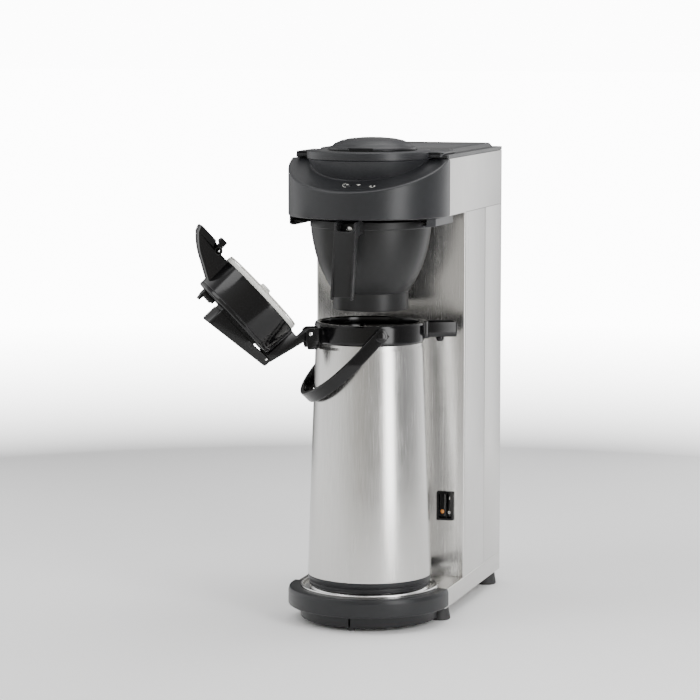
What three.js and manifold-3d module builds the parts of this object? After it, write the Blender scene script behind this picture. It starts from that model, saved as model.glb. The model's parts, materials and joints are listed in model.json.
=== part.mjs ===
// A commercial coffee brewer that fills one insulated airpot: column, head, filter basket and airpot.
// Millimetres, +Z up. X is the machine's width and Y its depth, with the front at -Y.
// Shapes are drawn with the airpot's vertical axis at X = Y = 0 and the counter at Z = 0;
// the exported group is then moved so that the origin is the bottom centre of the whole object.
import * as THREE from "three";
import { mergeVertices } from "three/addons/utils/BufferGeometryUtils.js";
import Module from "manifold-3d";

const wasm = await Module();
wasm.setup();

// ---------------------------------------------------------------- driving dimensions

const GAP = 0.3; // clearance between two pieces that touch
const SHEET = 1.2; // steel sheet thickness
const MOULDING = 3; // wall of the black mouldings
const SIDES = 36; // flats round every large turned piece
const degrees = THREE.MathUtils.degToRad;

const foot = { height: 16.4, topRadius: 11, bottomRadius: 13.5, inset: 12.5, front: 20, rearInset: 24 };
const base = { height: 22.9, front: 3.2, skirtRadius: 86, skirtBottom: 4.3, backWall: 2 };
const dish = { rim: 3.4, platform: 4.6, ledge: 10.1, sheet: 1 };

const pot = {
  turn: degrees(27.5), // the spout points this far towards the back from +X
  footRadius: 75,
  flare: 1.6, // the body's foot is this much wider than the base
  neckRadius: 66,
  shoulder: 1,
  baseHeight: 12.6,
  bodyHeight: 289,
  sheet: 1,
  linerNeck: 26.5, // between the neck and the liner's mouth
  linerWall: 2,
};
const collar = {
  height: 24.5,
  radius: pot.neckRadius + 2,
  opening: pot.neckRadius - 5.5,
  mouth: pot.neckRadius - 12,
  ledge: 8,
};
const spout = { length: 39.5, halfWidth: 14, wall: 2.5, depth: 18.5, drop: 2, nozzle: 20.5 };
const lidHinge = { clear: 8.5, drop: 13, pinRadius: 2.5, knuckle: 5.5, halfWidth: 9.7, lug: 6 };
const lid = { open: degrees(132.5), height: 43.2, wall: 2.7, discClear: 2.5, discDrop: 5.5 };
const hood = { reach: 53, halfWidth: 18, wall: 3 };
const latch = { rise: 0.5, pinRadius: 2, hub: 4.5, boss: 5, halfWidth: 8, length: 15 };
const lever = {
  tip: 23,
  heelRise: 48,
  pinRadius: 1.5,
  wall: 2.2,
  rise: 18.3,
  rearHalf: 13.2,
  halfWidth: 29,
};
const bail = {
  clear: 1.5, // beside the collar
  bodyClear: 0.355, // beside the body, where the hanging bail is lowest
  low: 93.5, // from the airpot's top down to there
  straight: 40,
  thick: 5.5,
  width: 16,
  hang: degrees(45.5),
  drop: 11.5,
};

const brewGap = 14.9; // open height between the airpot's mouth and the basket's outlet
const basket = {
  centreY: 5,
  radius: 74.8,
  wall: 2.4,
  height: 110.6,
  outletRadius: 46,
  outletHeight: 22,
  ear: 10.2,
  earThick: 2.6,
};
const handle = { halfWidth: 13.5, rib: 2.4, length: 92.5, reach: 32.1, lean: 17, depth: 13 };
const rail = { inset: 4.7, lip: 2.2, front: -33, back: 47, cornerCut: 20 };

const head = { height: 69.5, front: 6.4, slope: degrees(20.1), drumInset: 22.5, drumTaper: 8.5 };
const cover = { inset: 20.5, height: 9.7, openingRadius: 46, openingY: 10, earInset: 5.5, earTo: 60 };
const fillLid = { radius: 54, rimHeight: 3, domeHeight: 15.5, skirtRadius: 44, pinY: 68, pinRise: 3.5 };
const rear = { coverRim: 4.7, coverRise: 9.7, inset: 9 };
const column = { clear: 4.9, seam: 99, depth: 186, flange: 10 };
const vents = { count: 6, rise: 250, pitch: 14, height: 4, halfWidth: 45 };
const inlet = { x: 60, z: 72, bore: 4, thread: 8.6, nut: 12 };
const switchPlate = { x: 73, z: 130, halfWidth: 11.15, halfHeight: 18.45, proud: 2.8, tilt: degrees(7) };
const heater = { x: -20, inset: 75, radius: 28, low: 140, high: 320, stub: 12 };

// ---------------------------------------------------------------- levels and widths that follow

const baseBottom = foot.height + GAP;
const baseTop = baseBottom + base.height;
const dishBottom = baseTop + GAP;
const potFloor = dishBottom + dish.platform + GAP;
const shellBottom = potFloor + pot.baseHeight + GAP;
const shellTop = shellBottom + pot.bodyHeight;
const collarBottom = shellTop + GAP;
const potTop = collarBottom + collar.height;
const basketBottom = potTop + brewGap;
const basketTop = basketBottom + basket.height;
const headBottom = basketTop + 4.5;
const headTop = headBottom + head.height;
const coverTop = headTop + GAP + cover.height;

const dishRadius = pot.footRadius + dish.ledge;
const collarPlanRadius = dishRadius + 15.8;
const halfWidth = collarPlanRadius - 3.4;
const frontRadius = halfWidth + 2.3;
const columnFront = dishRadius + column.clear;
const columnSeam = columnFront + column.seam;
const columnRear = columnFront + column.depth;
const heaterY = columnFront + heater.inset;
const drumRadius = halfWidth - head.drumInset;
const coverRadius = halfWidth - cover.inset;
const bodyRadius = pot.footRadius + pot.flare;
const shoulderRadius = pot.neckRadius + pot.shoulder;
const linerMouth = pot.neckRadius - pot.linerNeck;
const hingeZ = potTop - lidHinge.drop;
const hingeReach = collar.radius + lidHinge.clear; // the lid's hinge, behind the airpot's axis
const lidRadius = collar.opening + 0.5;
const discRadius = collar.opening - lid.discClear;
const hoodEnd = lidRadius + hood.reach;
const latchReach = lidRadius + 14.6;
const leverHeel = lidRadius + 1;
const spoutEnd = collar.radius + spout.length;
const nozzleReach = collar.radius + spout.nozzle;
const bodyRadiusAt = (z) => {
  const top = shellTop - 5.7;
  return shoulderRadius + ((bodyRadius - shoulderRadius) * (top - z)) / (top - shellBottom);
};
const besideBody = bodyRadiusAt(potTop - bail.low) + bail.bodyClear;
const bailInner = Math.max(collar.radius + bail.clear, besideBody);
const bailLength = bailInner + bail.thick + bail.straight;

// ---------------------------------------------------------------- materials

const material = (color, roughness, metalness) =>
  new THREE.MeshStandardMaterial({ color, roughness, metalness });
const steel = material(0xcbc9c4, 0.34, 1);
const brightSteel = material(0xd9d9d6, 0.2, 1);
const aluminium = material(0xaeb0b2, 0.45, 1);
const blackPlastic = material(0x3c3e41, 0.5, 0);
const glossPlastic = material(0x17181a, 0.14, 0);
const basketPlastic = material(0x2f3133, 0.55, 0);
const greyPlastic = material(0x5b5d60, 0.5, 0);
const whitePlastic = material(0xdcdcd4, 0.45, 0);
const rubber = material(0x1d1d1e, 0.85, 0);
const silicone = material(0xd7d3c8, 0.6, 0);
const amber = material(0xc8702a, 0.3, 0);
const board = material(0x2f6b45, 0.6, 0);

// ---------------------------------------------------------------- shape helpers

// A closed three.js geometry as a manifold-3d solid.
function solidOf(geometry) {
  const bare = geometry.clone();
  bare.deleteAttribute("normal");
  bare.deleteAttribute("uv");
  const merged = mergeVertices(bare, 1e-4);
  const triVerts = [];
  for (let i = 0; i < merged.index.count; i += 3) {
    const [a, b, c] = [0, 1, 2].map((k) => merged.index.getX(i + k));
    if (a !== b && b !== c && c !== a) triVerts.push(a, b, c);
  }
  return new wasm.Manifold(
    new wasm.Mesh({
      numProp: 3,
      vertProperties: merged.attributes.position.array,
      triVerts: new Uint32Array(triVerts),
    }),
  );
}

function geometryOf(solid) {
  const { vertProperties, triVerts } = solid.getMesh();
  return new THREE.BufferGeometry()
    .setAttribute("position", new THREE.BufferAttribute(vertProperties, 3))
    .setIndex(new THREE.BufferAttribute(triVerts, 1));
}

const join = (...pieces) => geometryOf(pieces.map(solidOf).reduce((a, b) => a.add(b)));
const cut = (piece, ...tools) =>
  geometryOf(tools.map(solidOf).reduce((a, b) => a.subtract(b), solidOf(piece)));
const common = (a, b) => geometryOf(solidOf(a).intersect(solidOf(b)));

function block([x0, x1], [y0, y1], [z0, z1]) {
  return new THREE.BoxGeometry(x1 - x0, y1 - y0, z1 - z0).translate(
    (x0 + x1) / 2,
    (y0 + y1) / 2,
    (z0 + z1) / 2,
  );
}

// A cylinder along Z.
function rod(radius, z0, z1, x = 0, y = 0, sides = 20, topRadius = radius) {
  return new THREE.CylinderGeometry(topRadius, radius, z1 - z0, sides)
    .rotateX(Math.PI / 2)
    .translate(x, y, (z0 + z1) / 2);
}

// A cylinder along Y, and one along X.
const rodY = (radius, y0, y1, x, z, sides = 16) =>
  rod(radius, -y1, -y0, 0, 0, sides).rotateX(Math.PI / 2).translate(x, 0, z);
const rodX = (radius, x0, x1, y, z, sides = 16) =>
  rod(radius, x0, x1, 0, 0, sides).rotateY(Math.PI / 2).translate(0, y, z);

// A solid of revolution about Z. The profile is [radius, height] pairs; one that does not start and
// end on the axis is closed on itself.
function turned(profile, sides = SIDES) {
  const points = profile.map(([r, z]) => new THREE.Vector2(r, z));
  if (profile[0][0] !== 0) points.push(points[0].clone());
  if (THREE.ShapeUtils.area(points) < 0) points.reverse();
  return new THREE.LatheGeometry(points, sides).rotateX(Math.PI / 2);
}

const shapeOf = (outline) => new THREE.Shape(outline.map(([u, v]) => new THREE.Vector2(u, v)));

// An outline in the XY plane, raised along Z.
const plate = (shape, z0, z1) =>
  new THREE.ExtrudeGeometry(shape, { depth: z1 - z0, bevelEnabled: false }).translate(0, 0, z0);

// An outline in the YZ plane, drawn out along X, and one in the XZ plane, drawn out along Y.
const sideways = (outline, x0, x1) =>
  plate(shapeOf(outline), x0, x1).applyMatrix4(
    new THREE.Matrix4().set(0, 0, 1, 0, 1, 0, 0, 0, 0, 1, 0, 0, 0, 0, 0, 1),
  );
const across = (outline, y0, y1) =>
  plate(shapeOf(outline), -y1, -y0).rotateX(Math.PI / 2);

// A round tube or rod along smooth points.
function bent(points, radius, steps, sides = 8) {
  const path = new THREE.CatmullRomCurve3(points.map((p) => new THREE.Vector3(...p)));
  const section = new THREE.Shape();
  for (let i = 0; i < sides; i++) {
    const turn = (2 * Math.PI * i) / sides;
    const [u, v] = [radius * Math.cos(turn), radius * Math.sin(turn)];
    if (i) section.lineTo(u, v);
    else section.moveTo(u, v);
  }
  return new THREE.ExtrudeGeometry(section, { steps, extrudePath: path, bevelEnabled: false });
}

// Points along a circle, from one angle to another.
function arc(radius, from, to, steps, centreX = 0) {
  const points = [];
  for (let i = 0; i <= steps; i++) {
    const turn = from + ((to - from) * i) / steps;
    points.push([centreX + radius * Math.cos(turn), radius * Math.sin(turn)]);
  }
  return points;
}

// The plan of the machine's front: a half circle towards -Y with straight sides back to backY.
const frontPlan = (radius, backY) =>
  shapeOf([[-radius, backY], ...arc(radius, Math.PI, 2 * Math.PI, SIDES / 2), [radius, backY]]);

function node(parent, name, geometry, finish) {
  const mesh = new THREE.Mesh(geometry, finish);
  mesh.name = name;
  parent.add(mesh);
  return mesh;
}

// ---------------------------------------------------------------- base and dish

function buildBase(machine) {
  const back = columnRear;
  const tray = cut(
    block([-halfWidth, halfWidth], [base.front, back], [baseBottom, baseTop]),
    block(
      [-halfWidth + SHEET, halfWidth - SHEET],
      [base.front + SHEET, back - SHEET],
      [baseBottom - 1, baseTop - SHEET],
    ),
  );
  node(machine, "base_tray", tray, steel);

  const inner = SHEET + GAP;
  const floor = block(
    [-halfWidth + inner, halfWidth - inner],
    [base.front + inner, back - inner],
    [baseBottom, baseBottom + 1.5],
  );
  node(machine, "base_plate", floor, steel);

  const collarEdge = base.front - GAP;
  const collarLow = baseBottom + 3.2;
  const collarHigh = dishBottom + 2.1;
  const floorUnder = baseTop - 2.6;
  const outside = new THREE.ExtrudeGeometry(frontPlan(collarPlanRadius, collarEdge + 10), {
    depth: collarHigh - collarLow - 5,
    bevelThickness: 2.5,
    bevelSize: 2.5,
    bevelOffset: -2.5,
    bevelSegments: 2,
  }).translate(0, 0, collarLow + 2.5);
  const hollow = plate(
    frontPlan(collarPlanRadius - MOULDING, collarEdge - base.backWall),
    collarLow - 1,
    floorUnder,
  );
  const skirt = turned([
    [base.skirtRadius, base.skirtBottom],
    [base.skirtRadius, floorUnder + 0.5],
    [base.skirtRadius - 2.6, floorUnder + 0.5],
    [base.skirtRadius - 2.6, base.skirtBottom],
  ]);
  const shell = join(
    cut(outside, hollow, rod(dishRadius + GAP, baseTop, collarHigh + 1, 0, 0, SIDES)),
    skirt,
  );
  const front = block([-120, 120], [-120, collarEdge], [0, collarHigh + 1]);
  node(machine, "base_collar", common(shell, front), blackPlastic);

  const padY = -base.skirtRadius + 9;
  node(machine, "front_pad", rod(5, 0, floorUnder - GAP, 0, padY, 16), rubber);

  const t = dish.sheet;
  const [low, rim, top] = [dishBottom, dishBottom + dish.rim, dishBottom + dish.platform];
  const dishSolid = turned(
    [
      [0, top],
      [dishRadius - 13, top],
      [dishRadius - 11, top - t],
      [dishRadius - 10, low + t],
      [dishRadius - 3.6, low + t],
      [dishRadius - 2.8, rim - 0.6],
      [dishRadius - 1.6, rim],
      [dishRadius - 0.4, rim - 0.5],
      [dishRadius, rim - 1.5],
      [dishRadius, low],
      [dishRadius - 11.2, low],
      [dishRadius - 12, top - t - 0.6],
      [dishRadius - 13.4, top - t],
      [0, top - t],
    ],
  );
  node(machine, "airpot_dish", dishSolid, brightSteel);

  const footX = halfWidth - foot.inset;
  const places = [
    ["foot_front_left", -footX, foot.front],
    ["foot_front_right", footX, foot.front],
    ["foot_rear_left", -footX, columnRear - foot.rearInset],
    ["foot_rear_right", footX, columnRear - foot.rearInset],
  ];
  for (const [name, x, y] of places) {
    const pad = rod(foot.bottomRadius, 0, foot.height, x, y, 18, foot.topRadius);
    node(machine, name, pad, rubber);
  }
}

// ---------------------------------------------------------------- column

function buildColumn(machine) {
  const [low, high] = [baseTop + GAP, headBottom - GAP];
  const seam = columnSeam;
  const { flange } = column;
  // A folded channel: the mouth lies between two inward flanges.
  const channel = ([y0, y1], mouth) =>
    cut(
      block([-halfWidth, halfWidth], [y0, y1], [low, high]),
      block([-halfWidth + SHEET, halfWidth - SHEET], [y0 + SHEET, y1 - SHEET], [low - 1, high + 1]),
      block([-halfWidth + flange, halfWidth - flange], mouth, [low - 1, high + 1]),
    );
  const window = block(
    [switchPlate.x - 9.6, switchPlate.x + 9.6],
    [columnFront - 1, columnFront + SHEET + 1],
    [switchPlate.z - 16.8, switchPlate.z + 16.8],
  );
  const front = cut(channel([columnFront, seam - GAP], [columnFront + SHEET, seam + 1]), window);
  node(machine, "column_front_shell", front, steel);

  const wall = [columnRear - SHEET - 1, columnRear + 1];
  const slots = [];
  for (let i = 0; i < vents.count; i++) {
    const z = low + vents.rise + vents.pitch * i;
    slots.push(block([-vents.halfWidth, vents.halfWidth], wall, [z, z + vents.height]));
  }
  const inletRod = (radius, y0, y1, sides) => rodY(radius, y0, y1, inlet.x, inlet.z, sides);
  const inletHole = inletRod(inlet.thread + 0.4, ...wall);
  const back = cut(channel([seam, columnRear], [seam - 1, columnRear - SHEET]), inletHole, ...slots);
  node(machine, "rear_panel", back, steel);

  const nut = inletRod(inlet.nut, columnRear + GAP, columnRear + 4, 6);
  const thread = inletRod(inlet.thread, columnRear - 14, columnRear + 1);
  const gland = cut(join(nut, thread), inletRod(inlet.bore, columnRear - 26, columnRear + 11, 12));
  node(machine, "power_inlet", gland, rubber);
}

function buildSwitch(machine) {
  const { x, z, halfWidth: w, halfHeight: h, proud } = switchPlate;
  const faceY = columnFront - GAP;
  const bezel = cut(
    join(
      block([x - w, x + w], [faceY - proud, faceY], [z - h, z + h]),
      block([x - 9.3, x + 9.3], [faceY - 0.5, faceY + 14], [z - 16.5, z + 16.5]),
    ),
    block([x - 8.3, x + 1.5], [faceY - proud - 1, faceY + 9], [z - 15.5, z + 15.5]),
    block([x + 2.3, x + 8.5], [faceY - proud - 1, faceY + 9], [z - 15.5, z + 15.5]),
  );
  node(machine, "switch_bezel", bezel, glossPlastic);

  // Each rocker is drawn about its own pivot, level, and then tilted to its off position.
  const pivotY = columnFront + 5.5;
  const outline = [
    [-7.5, -14],
    [-6.2, 0],
    [-7.5, 14],
    [-4, 14],
    [1.8, 4],
    [1.8, -4],
    [-4, -14],
  ];
  const place = (name, geometry, finish) => {
    const mesh = node(machine, name, geometry, finish);
    mesh.position.set(x, pivotY, z);
    mesh.rotation.x = -switchPlate.tilt;
  };
  const lensAt = [-3.4, -8];
  const wide = cut(sideways(outline, -8, 1.2), rodY(2.9, -12, -4.6, lensAt[0], lensAt[1]));
  place("rocker_wide", wide, glossPlastic);
  place("rocker_lens", rodY(2.6, -7.6, -4.9, lensAt[0], lensAt[1]), amber);
  place("rocker_narrow", sideways(outline, 2.6, 8.2), glossPlastic);
}

// ---------------------------------------------------------------- head

function buildHead(machine) {
  const [low, high] = [headBottom, headTop];
  const box = block([-halfWidth, halfWidth], [head.front, columnRear], [low, high]);
  const inside = block(
    [-halfWidth + SHEET, halfWidth - SHEET],
    [head.front - 1, columnRear - SHEET],
    [low + SHEET, high + 1],
  );
  const well = block(
    [-halfWidth + 14, halfWidth - 14],
    [columnFront + 12, columnRear - 12],
    [low - 1, low + SHEET + 1],
  );
  const stemHole = rod(12, low - 1, low + SHEET + 1, 0, basket.centreY);
  node(machine, "head_shell", cut(box, inside, well, stemHole), steel);

  // Everything above this sloping plane is cut off the front moulding; the drum then rises from it.
  const drop = frontRadius * 1.2;
  const above = (lower) => {
    const edge = high - lower;
    return sideways(
      [
        [0, edge],
        [-drop, edge - drop * Math.tan(head.slope)],
        [-drop, high + 30],
        [0, high + 30],
      ],
      -frontRadius * 1.2,
      frontRadius * 1.2,
    );
  };
  const edgeY = head.front - GAP;
  const outer = cut(plate(frontPlan(frontRadius, edgeY), low, high), above(0));
  const room = cut(
    plate(frontPlan(frontRadius - MOULDING, edgeY + 1), low - 1, high - MOULDING),
    above(MOULDING + 0.2),
  );
  const drumLow = high - 42;
  const lowRadius = drumRadius - (head.drumTaper / 24) * 42;
  const drum = rod(lowRadius, drumLow, high, 0, 0, SIDES, drumRadius);
  const topRoom = drumRadius - MOULDING;
  const drumRoom = rod(lowRadius - MOULDING, drumLow - 1, high + 1, 0, 0, SIDES, topRoom);
  const keep = block([-150, 150], [-150, edgeY], [low - 1, high + 1]);

  const panel = new THREE.Group();
  panel.position.set(0, 0, high);
  panel.rotation.x = head.slope;
  panel.updateMatrixWorld(true);
  const onPanel = (geometry) => geometry.applyMatrix4(panel.matrixWorld);
  const controls = [
    ["start_button", -4, -84, 5, 0.5, blackPlastic],
    ["ready_lens", 9, -82.5, 3, 0.2, whitePlastic],
    ["descale_lens", 27, -86, 3.6, 0.2, whitePlastic],
  ];
  const holes = controls.map(([, x, y, radius]) => onPanel(rod(radius + GAP, -8, 4, x, y, 16)));
  const moulding = cut(
    common(cut(join(cut(outer, room), drum), drumRoom), keep),
    ...holes,
  );
  node(machine, "head_front", moulding, blackPlastic);
  for (const [name, x, y, radius, proud, finish] of controls) {
    const key = rod(radius, -2.6, proud, 0, 0, 16);
    const mesh = node(machine, name, key, finish);
    mesh.position.copy(new THREE.Vector3(x, y, 0).applyMatrix4(panel.matrixWorld));
    mesh.rotation.x = head.slope;
  }

  const underside = cut(
    plate(frontPlan(frontRadius - MOULDING - GAP, edgeY), low + 0.5, low + 3),
    rod(12, low - 1, low + 5, 0, basket.centreY, 20),
  );
  node(machine, "head_base", underside, blackPlastic);
}

function buildTop(machine) {
  const low = headTop + GAP;
  const hole = rod(cover.openingRadius, low - 1, coverTop + 1, 0, cover.openingY, SIDES);
  const rimTop = low + rear.coverRim;
  const flange = cut(rod(coverRadius, low, coverTop, 0, 0, SIDES), hole);
  const ears = [-1, 1].map((side) => {
    const earEnds = [side * (coverRadius - 7), side * (halfWidth - cover.earInset)];
    const xs = earEnds.sort((p, q) => p - q);
    return join(
      block(xs, [-8, cover.earTo], [rimTop + GAP, coverTop - 1.5]),
      block(xs, [-8, head.front - GAP], [low + 2.2, coverTop - 1.5]),
    );
  });
  const pinZ = coverTop + fillLid.pinRise;
  const { pinY } = fillLid;
  const brackets = [-16.5, 16.5].map((x) =>
    join(
      rodX(3, x - 2, x + 2, pinY, pinZ),
      block([x - 2, x + 2], [pinY - 3, pinY + 3], [coverTop - 1, pinZ]),
    ),
  );
  const pinBore = rodX(1.8, -20, 20, pinY, pinZ, 12);
  // The ears reach the flange but leave its opening free.
  const whole = cut(join(flange, ...ears, ...brackets), hole, pinBore);
  node(machine, "top_cover", whole, blackPlastic);

  const margin = rear.inset;
  const rim = block([-halfWidth, halfWidth], [head.front, columnRear], [low, rimTop]);
  const slope = 4;
  const plateauLow = shapeOf([
    [-halfWidth + margin, cover.earTo + 5],
    [halfWidth - margin, cover.earTo + 5],
    [halfWidth - margin, columnRear - margin - 3],
    [-halfWidth + margin, columnRear - margin - 3],
  ]);
  const plateau = new THREE.ExtrudeGeometry(plateauLow, {
    depth: 0.2,
    bevelThickness: rear.coverRise - rear.coverRim,
    bevelSize: slope,
    bevelOffset: -slope,
    bevelSegments: 1,
  }).translate(0, 0, rimTop);
  const hollow = block(
    [-halfWidth + margin + slope + 3, halfWidth - margin - slope - 3],
    [coverRadius + 6, columnRear - margin - slope - 6],
    [low - 6, low + rear.coverRise - 2.2],
  );
  const under = block([-200, 200], [-200, 400], [low - 20, low]);
  const lidCut = rod(coverRadius + GAP * 2, low - 1, coverTop + 2, 0, 0, SIDES);
  const back = cut(join(rim, plateau), under, hollow, lidCut);
  node(machine, "rear_cover", back, greyPlastic);

  buildFillLid(machine);
}

function buildFillLid(machine) {
  const { radius, rimHeight, domeHeight, skirtRadius, pinY } = fillLid;
  const low = coverTop + GAP;
  const pinZ = coverTop + fillLid.pinRise;
  const dome = turned(
    [
      [0, low + domeHeight],
      [20, low + domeHeight - 0.6],
      [36, low + domeHeight - 3],
      [47, low + domeHeight - 7.5],
      [52.5, low + rimHeight + 1.5],
      [radius, low + rimHeight - 0.5],
      [radius, low],
      [skirtRadius, low],
      [skirtRadius, low - 5],
      [skirtRadius - 2, low - 5],
      [skirtRadius - 2, low + 2],
      [34, low + domeHeight - 6.5],
      [0, low + domeHeight - 3.5],
    ],
  ).translate(0, cover.openingY, 0);
  const notchY = cover.openingY - radius;
  const notch = block([-16, 16], [notchY - 2, notchY + 6], [low - 1, low + 3.6]);
  const knuckle = join(
    rodX(3, -14, 14, pinY, pinZ),
    block([-14, 14], [pinY - 12, pinY], [low + 1.6, low + 4.8]),
  );
  const bore = rodX(1.8, -20, 20, pinY, pinZ, 12);
  const belowRim = block([-20, 20], [pinY - 5, pinY + 6], [low - 6, low]);
  const lidSolid = cut(join(cut(dome, notch), knuckle), bore, belowRim);
  node(machine, "fill_lid", lidSolid, blackPlastic);
  node(machine, "fill_lid_pin", rodX(1.5, -19, 19, pinY, pinZ, 12), brightSteel);
}

// ---------------------------------------------------------------- brewing parts

function buildRails(machine) {
  const lipInner = basket.radius + 3.7;
  const wallInner = basket.radius + basket.ear + 0.8;
  const wallOuter = halfWidth - rail.inset;
  const low = basketTop - basket.earThick - 2.9;
  for (const side of [-1, 1]) {
    const corner = rail.front - rail.cornerCut;
    const body = plate(
      shapeOf([
        [side * lipInner, corner],
        [side * (lipInner + 5.5), corner],
        [side * wallOuter, rail.front],
        [side * wallOuter, rail.back],
        [side * lipInner, rail.back],
      ]),
      low,
      headBottom - GAP,
    );
    const [a, b] = [side * (lipInner - 1), side * wallInner].sort((p, q) => p - q);
    const groove = block([a, b], [corner - 1, rail.back + 1], [low + rail.lip, headBottom]);
    const name = side < 0 ? "basket_rail_left" : "basket_rail_right";
    node(machine, name, cut(body, groove), blackPlastic);
  }
}

function buildBasket(machine) {
  const { radius, wall, outletRadius, outletHeight, centreY } = basket;
  const [low, high] = [basketBottom, basketTop];
  const bowl = low + outletHeight + 2.5;
  const rise = high - bowl;
  // The bowl's flank: its radius a given share of the way from the outlet's shoulder to the rim.
  const swell = (share) => outletRadius + 2.5 + share * (radius - outletRadius - 2.5);
  const outerProfile = [
    [outletRadius, low],
    [outletRadius, low + outletHeight],
    [outletRadius + 2.5, bowl],
    [swell(0.133), bowl + 0.07 * rise],
    [swell(0.342), bowl + 0.157 * rise],
    [swell(0.578), bowl + 0.337 * rise],
    [swell(0.791), bowl + 0.558 * rise],
    [swell(0.916), bowl + 0.767 * rise],
    [radius, high - 5],
    [radius, high],
  ];
  const innerProfile = [
    [radius - wall, high],
    [radius - wall - 0.2, high - 6],
    [swell(0.791) - wall, bowl + 0.558 * rise],
    [swell(0.567) - wall, bowl + 0.349 * rise],
    [swell(0.304) - wall, bowl + 0.174 * rise],
    [outletRadius + 3, bowl + 6],
    [outletRadius - 6, bowl + 2],
    [5, bowl],
    [5, bowl - 3],
    [outletRadius - wall, bowl - 5],
    [outletRadius - wall, low],
  ];
  const body = turned([...outerProfile, ...innerProfile]);
  const ears = [-1, 1].map((side) => {
    const xs = [side * (radius - 1.5), side * (radius + basket.ear)].sort((p, q) => p - q);
    return block(xs, [-50, 38], [high - basket.earThick, high]);
  });
  const boss = block([-9, 9], [-radius - 0.8, -radius + 3], [high - 14, high - 1]);
  const shell = join(body, ...ears, boss);
  const screwZ = high - 7.5;
  const screwHole = rodY(2.3, -radius - 5, -radius + 8, 0, screwZ, 12);
  node(machine, "filter_basket", cut(shell, screwHole).translate(0, centreY, 0), basketPlastic);

  // The handle is an upright channel: two ribs and a recessed front plate, tied to the basket on top.
  const topZ = high + 3.8;
  const bottomZ = topZ - handle.length;
  const backY = centreY - radius - 0.8 - GAP;
  const frontY = (z) => backY - handle.reach - ((topZ - z) * handle.lean) / handle.length;
  const rib = [
    [frontY(topZ), topZ],
    [frontY(bottomZ), bottomZ],
    [frontY(bottomZ) + handle.depth - 4, bottomZ - 0.5],
    [frontY(topZ - 20) + handle.depth, topZ - 20],
    [backY - 12, topZ - 17],
    [backY, topZ - 17],
    [backY, high - 0.5],
    [backY - 6, topZ],
  ];
  const ribs = [-1, 1].map((side) => {
    const ends = [side * (handle.halfWidth - handle.rib), side * handle.halfWidth];
    const xs = ends.sort((p, q) => p - q);
    return sideways(rib, ...xs);
  });
  const faceZ = [bottomZ + 4.5, topZ - 12.5];
  const face = sideways(
    [
      [frontY(faceZ[0]) + 2.2, faceZ[0]],
      [frontY(faceZ[0]) + 5, faceZ[0]],
      [frontY(faceZ[1]) + 5, faceZ[1]],
      [frontY(faceZ[1]) + 0.6, faceZ[1]],
    ],
    -handle.halfWidth + 0.5,
    handle.halfWidth - 0.5,
  );
  const tie = block(
    [-handle.halfWidth + 0.5, handle.halfWidth - 0.5],
    [backY - 12, backY],
    [topZ - 17, high - 0.5],
  );
  const bore = rodY(2.3, backY - 20, backY + 5, 0, screwZ, 12);
  node(machine, "basket_handle", cut(join(...ribs, face, tie), bore), basketPlastic);
  const screw = join(
    rodY(2, backY - 12.5, backY + 3.5, 0, screwZ, 12),
    rodY(4, backY - 14.8, backY - 12 - GAP, 0, screwZ, 16),
  );
  node(machine, "basket_screw", screw, brightSteel);
}

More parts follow.
